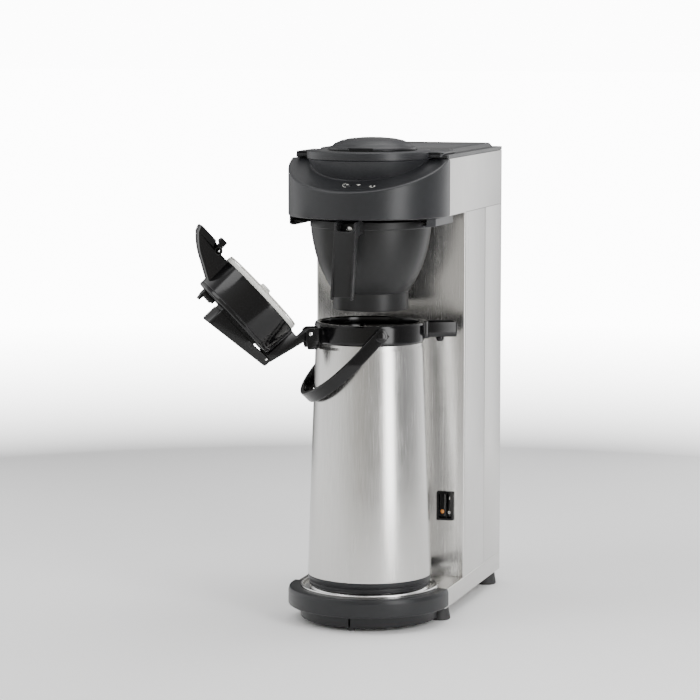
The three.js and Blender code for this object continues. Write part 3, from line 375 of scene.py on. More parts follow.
def polished(name, color, rough):
    """Bright metal with faint turning marks and small scratches."""
    n = Nodes(name)
    cloud = n.noise(24, (1, 1, 1), 4)
    scratches = n.noise(900, (1, 0.05, 1), 4, 0.7)
    return n.use(
        Base_Color=n.tint(cloud, shaded(color, 0.92), color), Metallic=1.0,
        Roughness=n.between(scratches, rough - 0.03, rough + 0.06),
        Normal=n.bump(scratches, 0.03, 0.0001),
    )


def moulded(name, color, rough, texture, depth, coat=0.0, spread=0.10, shine=0.5):
    """Plastic or rubber with its moulded texture, faint flow clouding and dust."""
    n = Nodes(name)
    pits = n.noise(texture, (1, 1, 1), 5, 0.6)
    flow = n.noise(11, (1, 1, 0.6), 4)
    dust = n.noise(140, (1, 1, 1), 6, 0.7)
    toned = n.tint(flow, shaded(color, 1 - spread), shaded(color, 1 + spread))
    specks = n.tint(dust, (1, 1, 1), (1.18, 1.17, 1.15), 0.55, 0.8)
    return n.use(
        Base_Color=n.product(toned, specks), Roughness=n.between(flow, rough - 0.04, rough + 0.05),
        Specular_IOR_Level=shine, Coat_Weight=coat, Coat_Roughness=0.06,
        Normal=n.bump(pits, depth, 0.0002),
    )


def cast(name, color):
    """Cast aluminium with a coarse sandy skin."""
    n = Nodes(name)
    sand = n.noise(520, (1, 1, 1), 6, 0.7)
    cloud = n.noise(30, (1, 1, 1), 3)
    return n.use(
        Base_Color=n.tint(cloud, shaded(color, 0.86), color), Metallic=0.9,
        Roughness=n.between(sand, 0.4, 0.6), Normal=n.bump(sand, 0.25, 0.0003),
    )


def circuit(name, color):
    """Solder mask with fine tracks."""
    n = Nodes(name)
    mapped = n.add("ShaderNodeMapping", {"Vector": n.place, "Scale": (260, 260, 260)})
    grid = {"Vector": mapped.outputs[0], "Scale": 1.0, "Mortar Size": 0.08}
    tracks = n.add("ShaderNodeTexBrick", grid)
    cover = n.tint(tracks.outputs["Fac"], color, shaded(color, 1.8), 0.4, 0.6)
    return n.use(Base_Color=cover, Roughness=n.between(n.noise(60), 0.3, 0.45))


FINISH = {
    "brushed_steel": brushed("brushed_steel", (0.62, 0.613, 0.595), 0.22, 900, 0.05),
    "bright_steel": polished("bright_steel", (0.78, 0.78, 0.77), 0.14),
    "aluminium": cast("aluminium", (0.62, 0.63, 0.64)),
    "black_moulding": moulded(
        "black_moulding", (0.014, 0.0146, 0.0162), 0.36, 1500, 0.08, shine=0.34
    ),
    "gloss_black": moulded(
        "gloss_black", (0.0012, 0.0012, 0.0014), 0.13, 60, 0.02, coat=0.08, shine=0.30
    ),
    "basket_black": moulded("basket_black", (0.010, 0.0102, 0.0106), 0.38, 1300, 0.12, shine=0.26),
    "grey_moulding": moulded("grey_moulding", (0.02, 0.0205, 0.0215), 0.34, 1500, 0.08, shine=0.4),
    "white_plastic": moulded("white_plastic", (0.74, 0.74, 0.70), 0.36, 900, 0.04, spread=0.03),
    "rubber": moulded("rubber", (0.022, 0.022, 0.023), 0.62, 1100, 0.25),
    "silicone": moulded("silicone", (0.55, 0.54, 0.50), 0.45, 700, 0.06, spread=0.05),
    "amber_lens": moulded("amber_lens", (0.55, 0.20, 0.035), 0.18, 500, 0.05, 0.4),
    "circuit_board": circuit("circuit_board", (0.03, 0.14, 0.06)),
}

# ---- base and dish


def half_round(profile, back, steps=ROUND // 2):
    """A profile swept round the front half circle and on, straight, to Y = back. Its points are
    (radius, height), or functions of the front's share, from 0 at the sides to 1 at the middle."""
    stations = [(-1, 0, back)]
    for x, y in arc(1, math.pi, 2 * math.pi, steps):
        stations.append((x, y, 0))
    stations.append((1, 0, back))
    rings = []
    for x, y, straight in stations:
        points = profile(-y) if callable(profile) else profile
        rings.append([(x * r, y * r + straight, z) for r, z in points])
    return loft(rings)


def build_base():
    tray_low, tray_high = ends("base_tray")
    outline = rectangle((tray_low.x, tray_high.x), (tray_low.y, tray_high.y), 2.2)
    tray = shell(outline, (tray_low.z, tray_high.z), SHEET, 1.0)
    piece("tray", "brewer", "brushed_steel", [tray], ["base_tray"])

    ring = reach("base_collar")
    dish = reach("airpot_dish") + GAP
    bottom, top = low("base_collar").z, high("base_collar").z
    floor = tray_high.z
    skirt = dish + 0.6
    shoulder = tray_low.z + 3.2
    profile = rounded([
        (0.5, floor, 0), (dish, floor, 0.3), (dish, top, 0.8), (ring - 1.6, top, 2.4),
        (ring, top - 5, 3), (ring, shoulder, 2.2), (skirt + 3.5, shoulder - 0.8, 1.2),
        (skirt + 0.4, shoulder - 1.6, 1.0), (skirt - 0.3, bottom + 0.6, 0.8),
        (skirt - 2.6, bottom, 0.5), (skirt - 2.8, floor - 2.6, 0.5), (0.5, floor - 2.6, 0),
    ], steps=4, closed=False)
    collar = half_round(profile, high("base_collar").y)
    seam = brick((-1.2, 1.2), (-skirt - 2, -skirt + 1), (bottom - 1, shoulder - 4), 0, 0.2)
    nib = brick((-4, 4), (-skirt + 0.4, -skirt + 6), (bottom + 1, shoulder - 3), 0.8, 1.2)
    piece("front_base", "brewer", "black_moulding", [collar, nib], ["base_collar"], cuts=[seam])

    pad = [(0, 0, 0), (4.6, 0), (5, 1.5), (5, bottom + 3), (0, bottom + 3, 0)]
    pad = spun(pad, 0.6, sides=40, centre=centre_of("front_pad"))
    piece("pad", "brewer", "rubber", [pad], ["front_pad"])

    for side in ("front_left", "front_right", "rear_left", "rear_right"):
        node = f"foot_{side}"
        a, b = ends(node)
        wide = (b.x - a.x) / 2
        foot = spun([
            (0, 0, 0), (wide - 0.9, 0, 0.8), (wide, 1.6, 0.8), (wide - 0.4, 3.2, 0.6),
            (wide - 2.4, b.z - 1, 0.8), (wide - 3.4, b.z, 0.5), (0, b.z, 0),
        ], sides=56, centre=centre_of(node))
        piece(f"rubber_{node}", "brewer", "rubber", [foot], [node])

    edge, under, rim = reach("airpot_dish"), low("airpot_dish").z, high("airpot_dish").z
    lip = edge - 1.8
    dish = spun([
        (0, rim, 0), (edge - 13.4, rim, 1.0), (edge - 10.6, under + 1, 1.0),
        (edge - 4.2, under + 1, 0.8), (lip - 1.5, under + 2.4, 1.0), (lip - 0.6, rim - 0.4, 0.8),
        (lip + 0.6, rim + 0.1, 0.8), (edge, rim - 0.9, 1.0), (edge, under, 0.5),
        (edge - 11.2, under, 0.6), (edge - 14, rim - 1, 0.8), (0, rim - 1, 0),
    ], steps=5)
    piece("dish", "brewer", "bright_steel", [dish], ["airpot_dish"])


# ---- column


def channel(half, closed_at, open_at, flange, groove=0.0):
    """The plan of a folded sheet: a U with its legs turned in at the open end."""
    way = 1 if open_at > closed_at else -1
    legs = []
    for side in (-1, 1):
        leg = [(side * half, closed_at, 2.4)]
        if groove:
            at = closed_at + way * groove
            for sunk, y in ((0, at - 0.5), (0.6, at), (0, at + 0.5)):
                leg.append((side * (half - sunk), y, 0))
        leg += [
            (side * half, open_at, 1.6), (side * (half - flange), open_at, 0.3),
            (side * (half - flange), open_at - way * SHEET, 0.3),
            (side * (half - SHEET), open_at - way * SHEET, 0.6),
            (side * (half - SHEET), closed_at + way * SHEET, 1.3),
        ]
        legs.append(leg)
    right, left = legs[1], legs[0]
    cut = next(i for i, p in enumerate(right) if p[2] == 1.3)
    return rounded(left[:cut][::-1] + right[:cut] + [right[cut], left[cut]], steps=4)


def build_column():
    a, b = ends("column_front_shell")
    half = b.x
    hole_low, hole_high = ends("switch_bezel")
    window = brick(
        (hole_low.x + 1.6, hole_high.x - 1.6), (a.y - 2, a.y + 3),
        (hole_low.z + 1.7, hole_high.z - 1.7), 0, 0.8,
    )
    plan = channel(half, a.y, b.y, 10, 13)
    piece(
        "column_cover", "brewer", "brushed_steel", [prism(plan, (a.z, b.z), 0)],
        ["column_front_shell"], cuts=[window],
    )

    a, b = ends("rear_panel")
    plan = channel(half, b.y, a.y, 10)
    through = (b.y - 4, b.y + 2)
    vents = []
    for i in range(6):
        z = a.z + 250 + 14 * i
        vents.append(prism(rectangle((-45, 45), (z, z + 4), 1.9), through, 0, "XZ"))
    inlet = centre_of("power_inlet")
    hole = rod(9, through, (inlet.x, inlet.z), "XZ", 0)
    piece(
        "rear_cover_panel", "brewer", "brushed_steel", [prism(plan, (a.z, b.z), 0)], ["rear_panel"],
        cuts=[*vents, hole],
    )
    screw = spun([(0, 0, 0), (3.6, 0, 0.2), (3.4, 1.2, 0.8), (2.2, 1.9, 0.6), (0, 2, 0)], sides=28)
    outward = Matrix.Rotation(math.radians(-90), 4, "X")
    sunk = (b.y - 0.9, b.y + 0.4)
    foot, top = a.z + 14, b.z - 14
    for i, (x, z) in enumerate([(-86, foot), (86, foot), (-86, top), (86, top), (0, top)]):
        head = moved(screw, Matrix.Translation((x, b.y - 2.05, z)) @ outward)
        cross = [
            brick((x - wide, x + wide), sunk, (z - tall, z + tall), 0, 0.1)
            for wide, tall in ((1.8, 0.35), (0.35, 1.8))
        ]
        piece(f"rear_screw_{i}", "brewer", "bright_steel", [head], cuts=cross)


def build_switch():
    a, b = ends("switch_bezel")
    widths = {node: (low(node).x, high(node).x) for node in ("rocker_wide", "rocker_narrow")}
    plate = prism(rectangle((a.x, b.x), (a.z, b.z), 1.6), (a.y, a.y + 2.8), 0.7, "XZ")
    well = brick((a.x + 1.9, b.x - 1.9), (a.y + 1, b.y), (a.z + 2, b.z - 2), 0.2, 0.6)
    rooms = [
        brick((left - GAP, right + GAP), (a.y - 2, b.y - 4), (a.z + 2.9, b.z - 2.9), 0, 0.5)
        for left, right in widths.values()
    ]
    piece("switch_frame", "brewer", "gloss_black", [plate, well], ["switch_bezel"], cuts=rooms)

    pivot = own(JOINTS["power_rocker_tilt"]["pos_m"])
    tilt = Matrix.Rotation(math.radians(-7), 4, "X")
    lean = Matrix.Translation(pivot) @ tilt @ Matrix.Translation(-pivot)
    outline = [(-7.5, -14), (-6.3, -5), (-6.1, 0), (-6.3, 5), (-7.5, 14)]
    outline += [(-4, 14), (1.8, 4), (1.8, -4), (-4, -14)]
    profile = rounded([(pivot.y + y, pivot.z + z) for y, z in outline], 0.6)

    wide, narrow = [prism(profile, xs, 0.4, "YZ") for xs in widths.values()]
    at = (centre_of("rocker_lens").x, pivot.z - 8)
    face = pivot.y - 6.9
    ring = prism(circle(3.4, at, 36), (face - 0.5, face + 1.2), 0.4, "XZ")
    ring_room = prism(circle(2.75, at, 36), (face - 2, face + 3), 0, "XZ")
    piece(
        "wide_rocker", "power_rocker", "gloss_black", [wide, ring], ["rocker_wide"], lean,
        cuts=[ring_room],
    )
    jewel = [(0, 1.2, 0), (1.6, 1.0), (2.55, 0.2, 0.3), (2.55, -1.6, 0.2), (0, -1.6, 0)]
    up = Matrix.Translation((at[0], face, at[1])) @ Matrix.Rotation(math.radians(90), 4, "X")
    jewel = moved(spun(jewel, sides=32), up)
    piece("amber_jewel", "power_rocker", "amber_lens", [jewel], ["rocker_lens"], lean)
    piece("narrow_rocker", "warmer_rocker", "gloss_black", [narrow], ["rocker_narrow"], lean)
    x, z = sum(widths["rocker_narrow"]) / 2, (a.z + b.z) / 2
    raised = (pivot.y - 7.1, pivot.y - 6)
    bar = prism(rectangle((x - 0.45, x + 0.45), (z + 7, z + 11), 0.3), raised, 0.1, "XZ")
    oval = prism(circle(1.6, (x, z - 9), 28), raised, 0.1, "XZ")
    hollow = prism(circle(1.0, (x, z - 9), 28), (pivot.y - 9, pivot.y - 4), 0, "XZ")
    piece("rocker_bar", "warmer_rocker", "white_plastic", [bar], place=lean)
    piece("rocker_ring", "warmer_rocker", "white_plastic", [oval], place=lean, cuts=[hollow])


# ---- head

SLOPE = math.atan2(JOINTS["start_press"]["axis"][1], -JOINTS["start_press"]["axis"][2])
PANEL = math.tan(SLOPE)


def build_head():
    a, b = ends("head_shell")
    inner = b.x - SHEET
    plan = rounded([
        (a.x, a.y, 0.4), (-inner, a.y, 0.4), (-inner, b.y - SHEET, 1.3), (inner, b.y - SHEET, 1.3),
        (inner, a.y, 0.4), (b.x, a.y, 0.4), (b.x, b.y, 2.4), (a.x, b.y, 2.4),
    ], steps=4)
    floor = brick((a.x + 0.4, b.x - 0.4), (a.y, b.y - 0.4), (a.z, a.z + SHEET), 0.3, 1)
    well = brick((-84, 84), (low("column_front_shell").y + 12, b.y - 12), (a.z - 2, a.z + 4), 0, 1)
    stem = prism(circle(12, (0, centre_of("spray_head").y), 48), (a.z - 2, a.z + 4), 0)
    walls = prism(plan, (a.z, b.z), 0.3)
    cuts = [well, stem]
    piece("head_casing", "brewer", "brushed_steel", [floor, walls], ["head_shell"], cuts=cuts)

    outer = reach("head_front")
    top, bottom = b.z, a.z
    drum, taper, wall = 75.0, 0.354, 3.0

    def profile(share):
        """The moulding's section at a share of the front: wall, rim, sloping panel, drum."""
        fall = share * PANEL
        foot = drum / (1 + taper * fall)
        panel = lambda r: top - r * fall
        rim = panel(outer)
        drum_top = top - 0.02
        foot_z = min(panel(foot), drum_top - 0.3)
        rise = min(1.0, share * 4)
        depth = top - 40
        return [
            (outer - 3.2, bottom + 0.6), (outer - 2.6, bottom), (outer - 1.2, bottom + 0.2),
            (outer - 0.3, bottom + 1.2), (outer, bottom + 3),
            (outer, bottom + (rim - bottom) * 0.5), (outer, rim - 2.0), (outer - 0.3, rim - 0.6),
            (outer - 1.1, rim + 0.25 * rise), (outer - 2.1, rim + 0.6 * rise),
            (outer - 3.2, panel(outer - 3.2) + 0.3 * rise), (outer - 4.4, panel(outer - 4.4)),
            ((outer + foot) / 2, panel((outer + foot) / 2)), (foot + 2.4, panel(foot + 2.4)),
            (foot + 0.9, panel(foot + 0.9) + 0.25 * rise), (foot + 0.2, foot_z + 0.9 * rise),
            (drum - taper * (top - drum_top), max(drum_top - 0.9, foot_z + 0.1)),
            (drum - 0.5, drum_top), (drum - wall, drum_top), (drum - wall - taper * 30, top - 30),
            (drum - wall - taper * 40, depth), (outer - 12, depth - 2),
            (outer - wall, min(depth, rim - 8)), (outer - wall, bottom + 4),
        ]

    rings = half_round(profile, low("head_shell").y - GAP)

    def on_panel(node, shape):
        """A shape drawn flat, laid on the sloping panel over the node's middle."""
        x, y, _ = centre_of(node)
        y += math.sin(SLOPE)
        tilt = Matrix.Rotation(SLOPE, 4, "X")
        return moved(shape, Matrix.Translation((x, y, top + y * PANEL)) @ tilt)

    hole = on_panel("start_button", rod(5.3, (-9, 4), (0, 0), "XY", 0))
    piece("head_moulding", "brewer", "black_moulding", [rings], ["head_front"], cuts=[hole])

    cap = on_panel("start_button", rod(5.0, (-2.4, 0.5), (0, 0), "XY", 0.5))
    piece("start_key_cap", "start_key", "black_moulding", [cap], ["start_button"])
    triangle = prism(rounded([(-1.8, -1.6), (-1.8, 1.9), (1.6, 0.4)], 0.3), (0.3, 0.75), 0.15)
    piece("start_mark", "start_key", "white_plastic", [on_panel("start_button", triangle)])
    bezel = ring_of(6.0, 6.5, 2.2, 4.6, (-0.2, 0.25))
    piece("start_ring", "brewer", "white_plastic", [on_panel("start_button", bezel)])
    proud = (-0.3, 0.3)
    oval = prism([(2.3 * x, 1.3 * y) for x, y in circle(1, sides=36)], proud, 0.15)
    piece("ready_mark", "brewer", "white_plastic", [on_panel("ready_lens", oval)], ["ready_lens"])
    dots = [prism(circle(0.8, at, 20), proud, 0.15) for at in ((-2.1, 0.3), (2.4, 1.0))]
    sweep = ring_of(3.0, 3.5, math.radians(190), math.radians(350), (-0.3, 0.25))
    marks = [on_panel("descale_lens", shape) for shape in [sweep, *dots]]
    piece("descale_mark", "brewer", "white_plastic", marks, ["descale_lens"])


def ring_of(inner, outer, start, end, span, steps=28):
    """Part of a flat ring."""
    outline = arc(outer, start, end, steps) + arc(inner, end, start, steps)
    return prism(outline, span, 0)


# ---- top


def build_top():
    a, b = ends("top_cover")
    hinge = own(JOINTS["fill_lid_hinge"]["pos_m"])
    lid_low, lid_high = ends("fill_lid")
    opening_y = lid_low.y + lid_high.x
    cover_top = lid_low.z + 5 - GAP
    radius = 77.0

    def ring_at(r, z, centre_y):
        return [(x, y, z) for x, y in circle(r, (0, centre_y), ROUND)]

    flange = loft([
        ring_at(radius - 1, a.z, 0), ring_at(radius - 0.2, a.z + 0.4, 0),
        ring_at(radius, a.z + 1.4, 0), ring_at(radius, cover_top - 2.2, 0),
        ring_at(radius - 0.5, cover_top - 0.8, 0), ring_at(radius - 1.8, cover_top, 0),
        ring_at(56, cover_top, opening_y * 0.9), ring_at(55, cover_top - 0.8, opening_y),
        ring_at(47, cover_top - 0.8, opening_y), ring_at(46, cover_top - 1.4, opening_y),
        ring_at(46, a.z, opening_y),
    ], closed=True)
    ears = []
    for side in (-1, 1):
        xs = across(side, 69, b.x)
        ears.append(brick(xs, (-8, 60), (a.z + 5, cover_top - 1.5), 0.8, 1.5))
        ears.append(brick(xs, (-8, 5.8), (a.z + 2.2, cover_top - 1.6), 0.6, 1.5))
        zs = (cover_top - 2.2, cover_top - 0.9)
        ears.append(brick(across(side, 74, 88), (-6, 20), zs, 0.5, 3))
    brackets = []
    for xs in ((-18.5, -14.5), (14.5, 18.5)):
        ys, zs = (hinge.y - 3, hinge.y + 3), (cover_top - 1.5, hinge.z)
        brackets.append(rod(3, xs, (hinge.y, hinge.z), "YZ", 0.4))
        brackets.append(brick(xs, ys, zs, 0.3, 0.5))
    piece("cover_ring", "brewer", "black_moulding", [flange, *ears, *brackets], ["top_cover"])
    pin = rod(1.5, (-19, 19), (hinge.y, hinge.z), "YZ", 0.4, 24)
    piece("cover_pin", "brewer", "bright_steel", [pin], ["fill_lid_pin"])

    base, crown = lid_low.z + 5, lid_high.z
    dome = spun([
        (0, crown, 0), (14, crown - 0.35, 20), (28, crown - 1.7, 20), (38, crown - 3.9, 16),
        (46.5, crown - 7.6, 8), (50.2, base + 4.6, 1.4), (53.0, base + 3.3, 1.2),
        (54, base + 1.8, 0.9), (54, base, 0.4), (44, base, 0.5), (44, base - 5, 0.4),
        (42, base - 5, 0.4), (42, base + 2, 1), (34, crown - 6.5, 3), (0, crown - 3.6, 0),
    ], steps=5, centre=(0, opening_y))
    notch = brick((-16, 16), (opening_y - 60, opening_y - 48.5), (base - 1, base + 3.5), 0, 2.5)
    knuckle = rod(3, (-14, 14), (hinge.y, hinge.z), "YZ", 0.5)
    strap = brick((-14, 14), (hinge.y - 14, hinge.y), (base + 1.7, base + 4.6), 0.5, 0.8)
    finger = (opening_y - 51.5, opening_y - 49)
    finger = brick((-14, 14), finger, (base + 0.3, base + 3), 0.4, 0.8)
    piece(
        "fill_cap", "filler_lid", "black_moulding", [dome, knuckle, strap, finger], ["fill_lid"],
        cuts=[notch],
    )

    a, b = ends("rear_cover")
    rim_top = a.z + 4.7
    rim = prism(rectangle((a.x, b.x), (a.y, b.y), 2.4), (a.z, rim_top), 0.7)
    plateau = []
    for depth, z in (
        (9.0, rim_top - 1), (9.0, rim_top + 0.2), (9.6, rim_top + 0.7), (12.2, b.z - 0.9),
        (13.4, b.z - 0.2), (14.6, b.z),
    ):
        outline = rectangle((a.x + depth, b.x - depth), (56 + depth, b.y - depth - 3), 4, 6)
        plateau.append([(x, y, z) for x, y in outline])
    lens = prism(rectangle((a.x + 24, b.x - 24), (96, b.y - 26), 5, 6), (b.z - 0.6, b.z + 2), 0)
    room = prism(circle(radius + 0.8, (0, 0), ROUND), (a.z - 2, b.z + 4), 0)
    piece(
        "rear_top", "brewer", "grey_moulding", [rim, loft(plateau)], ["rear_cover"],
        cuts=[room, lens],
    )


# ---- rails and basket


def build_rails():
    basket_x = high("filter_basket").x
    for side, word in ((-1, "left"), (1, "right")):
        node = f"basket_rail_{word}"
        a, b = ends(node)
        near, far = (b.x, a.x) if side < 0 else (a.x, b.x)
        outline = rounded([
            (near, a.y, 1), (near + side * 5.5, a.y, 3), (far, a.y + 20, 4), (far, b.y, 1.5),
            (near, b.y, 0.5),
        ], steps=4)
        groove = brick(
            sorted((near - side, side * (basket_x + 0.8))), (a.y - 2, b.y + 2),
            (a.z + 2.2, b.z + 2), 0, 0.4,
        )
        body = prism(outline, (a.z, b.z), 0.7)
        piece(f"rail_{word}", "brewer", "black_moulding", [body], [node], cuts=[groove])


def build_basket():
    a, b = ends("filter_basket")
    y = centre_of("spray_head").y
    bottom, top = a.z, b.z
    bowl = bottom + 24.5
    wall = 2.4
    outside = [
        (46, bottom, 0.8), (46.2, bottom + 12, 0), (46, bowl - 3.2, 1.0), (47.6, bowl - 1.8, 1.2),
        (50.5, bowl + 3.5, 3), (54.2, bowl + 9.5, 8), (59.0, bowl + 19.0, 12),
        (63.9, bowl + 30, 16), (68.0, bowl + 43, 20), (71.2, bowl + 57, 20), (73.4, bowl + 70, 20),
        (73.9, top - 9.5, 0.8), (74.8, top - 8.4, 0.8), (74.8, top, 0.6),
    ]
    inside = [
        (74.8 - wall, top, 0.5), (70.6, bowl + 66, 20), (66.5, bowl + 47, 20), (61, bowl + 31, 16),
        (54, bowl + 16, 8), (48.6, bowl + 6, 3), (40, bowl + 2, 3), (5, bowl, 0.8),
        (5, bowl - 3, 0.5), (46 - wall, bowl - 5.4, 2), (46 - wall, bottom, 0.6),
    ]
    body = spun(outside + inside, steps=5, centre=(0, y))
    rib = [(52, 12), (60.4, 31), (66, 48), (70, 64), (71, 64), (55, 13)]
    rib = prism(rounded([(x, bowl + z) for x, z in rib], 1), (-0.7, 0.7), 0.4, "XZ")
    ribs = []
    for i in range(24):
        spin = Matrix.Translation((0, y, 0)) @ Matrix.Rotation(math.radians(15 * i), 4, "Z")
        ribs.append(moved(rib, spin))
    ears = [
        brick(across(side, 73, b.x), (y - 50, y + 38), (top - 2.6, top - 0.02), 0.5, 4)
        for side in (-1, 1)
    ]
    boss = brick((-9, 9), (y - 75.6, y - 71), (top - 14, top - 1), 0.6, 1)
    piece("basket_body", "basket", "basket_black", [body, *ribs, *ears, boss], ["filter_basket"])


def build_grip():
    a, b = ends("basket_handle")
    half, wall = b.x, 2.4
    top, bottom = b.z, a.z
    front_top, front_bottom = -103.0, a.y
    lean = (front_bottom - front_top) / (top - bottom)
    back = b.y

    def front(z):
        return front_top + (top - z) * lean

    side_outline = rounded([
        (front(top) + 1.5, top - 1.2, 3), (front(bottom), bottom, 3),
        (front(bottom) + 9, bottom, 3), (front(top - 20) + 13, top - 20, 6),
        (back - 12, top - 17, 3), (back, top - 17, 0.4), (back, top - 4.4, 1), (back - 6, top, 2.5),
    ], steps=5)
    flanks = [prism(side_outline, across(side, half - wall, half), 0.9, "YZ") for side in (-1, 1)]
    face_outline = rounded([
        (front(bottom + 3) + 2.4, bottom + 3, 1.2), (front(bottom + 3) + 5.4, bottom + 3, 1.2),
        (front(top - 13) + 5.0, top - 13, 1.2), (front(top - 13) + 1.0, top - 12, 1.6),
    ], steps=4)
    face = prism(face_outline, (-half + 0.5, half - 0.5), 0.2, "YZ")
    # The rolled edge under the grip's opening is a bar bent into a wide U.
    lip = [(x - half, top - drop) for x, drop in ((1.6, 3), (1.7, 9), (4.4, 12.6), (8, 13.6))]
    lip = lip + [(-x, z) for x, z in reversed(lip)]
    lip_path = [(x, front(z) + 1.7, z) for x, z in curve(lip, 5)]
    edge = swept(circle(1.45, sides=16), lip_path, (0, 1, 0))
    tie = brick((-half + 0.5, half - 0.5), (back - 12, back - 0.1), (top - 17, top - 4.4), 0.8, 1)
    web = ((4, 6), (8, 6), (10, 40), (4, 40))
    web = [(front(bottom + z) + depth, bottom + z) for depth, z in web]
    web = prism(rounded(web, 1), (-0.8, 0.8), 0.3, "YZ")
    piece("grip", "basket", "basket_black", [*flanks, face, edge, tie, web], ["basket_handle"])
    z = top - 11.3
    screw = rod(4, (back - 14.8, back - 12.3), (0, z), "XZ", 0.8)
    slot_cut = brick((-5, 5), (back - 16, back - 14), (z - 0.5, z + 0.5), 0, 0.1)
    piece("grip_screw", "basket", "bright_steel", [screw], ["basket_screw"], cuts=[slot_cut])


def curve(points, steps):
    """Smooth points through a few given ones."""
    given = [Vector(p) for p in points]
    ends = [given[0] * 2 - given[1], *given, given[-1] * 2 - given[-2]]
    smooth = []
    for a, b, c, d in zip(ends, ends[1:], ends[2:], ends[3:]):
        for k in range(steps):
            t = k / steps
            square = (2 * a - 5 * b + 4 * c - d) * t * t
            cube = (3 * b - a - 3 * c + d) * t ** 3
            smooth.append(0.5 * (2 * b + (c - a) * t + square + cube))
    return [tuple(p) for p in [*smooth, given[-1]]]


def swept(section, path, up):
    """A section carried along a path. Its second direction stays as near to up as it can."""
    points = [Vector(p) for p in path]
    rings = []
    for i, point in enumerate(points):
        ahead = (points[min(i + 1, len(points) - 1)] - points[max(i - 1, 0)]).normalized()
        across = ahead.cross(Vector(up)).normalized()
        level = across.cross(ahead)
        rings.append([tuple(point + across * u + level * v) for u, v in section])
    return loft(rings)


# ---- airpot


def build_airpot():
    foot, body = low("airpot_base").z, high("airpot_base").z
    wide = reach("airpot_base")
    base = spun([
        (0, foot + 6, 0), (wide - 15.6, foot + 6, 1), (wide - 13.6, foot, 0.8),
        (wide - 2.2, foot, 0.8), (wide - 1.6, foot + 1.2, 0.6), (wide - 1.6, foot + 5.2, 0.4),
        (wide - 2.2, foot + 5.6, 0.2), (wide - 2.2, foot + 6.3, 0.2), (wide - 0.3, foot + 6.9, 0.8),
        (wide, body - 0.8, 0.5), (wide - 0.6, body, 0.3), (0, body, 0),
    ])
    piece("pot_base", "airpot", "black_moulding", [base], ["airpot_base"], POT)

    bottom, top = low("airpot_shell").z, high("airpot_shell").z
    skin = spun([
        (wide, bottom, 0.3), (wide - 0.02, bottom + 3, 0), (67.0, top - 6.4, 2.4),
        (66, top - 3.0, 1.6), (66, top, 0.2), (65, top, 0.2), (65, top - 3.4, 1.2),
        (66, top - 6.8, 1.8), (wide - 1, bottom, 0.2),
    ], steps=5)
    piece("pot_shell", "airpot", "brushed_steel", [skin], ["airpot_shell"], POT)

    liner_low, liner_top = low("airpot_liner").z, high("airpot_liner").z
    liner = spun([
        (0, liner_low, 0), (56, liner_low, 10), (67, liner_low + 11, 10),
        (60.5, liner_top - 46, 12), (41.5, liner_top - 12, 8), (41.5, liner_top, 0.6),
        (39.5, liner_top, 0.6), (39.5, liner_top - 13, 8), (58.2, liner_top - 47, 12),
        (64.7, liner_low + 12, 10), (54.6, liner_low + 2.4, 10), (0, liner_low + 2.4, 0),
    ], steps=6, sides=96)
    piece("pot_liner", "airpot", "bright_steel", [liner], ["airpot_liner"], POT)
    seat = liner_top + GAP
    gasket = spun([(40, seat), (45, seat), (45, seat + 2.7), (40, seat + 2.7)], 1.0, sides=96)
    piece("pot_gasket", "airpot", "silicone", [gasket], ["neck_gasket"], POT)
    build_collar()
    build_bail()


SPOUT_X = 88.5  # where the nozzle hangs below the spout box
ARM_HALF, LUG = 9.7, 6  # half the lid arm's width, and the thickness of a lug beside it


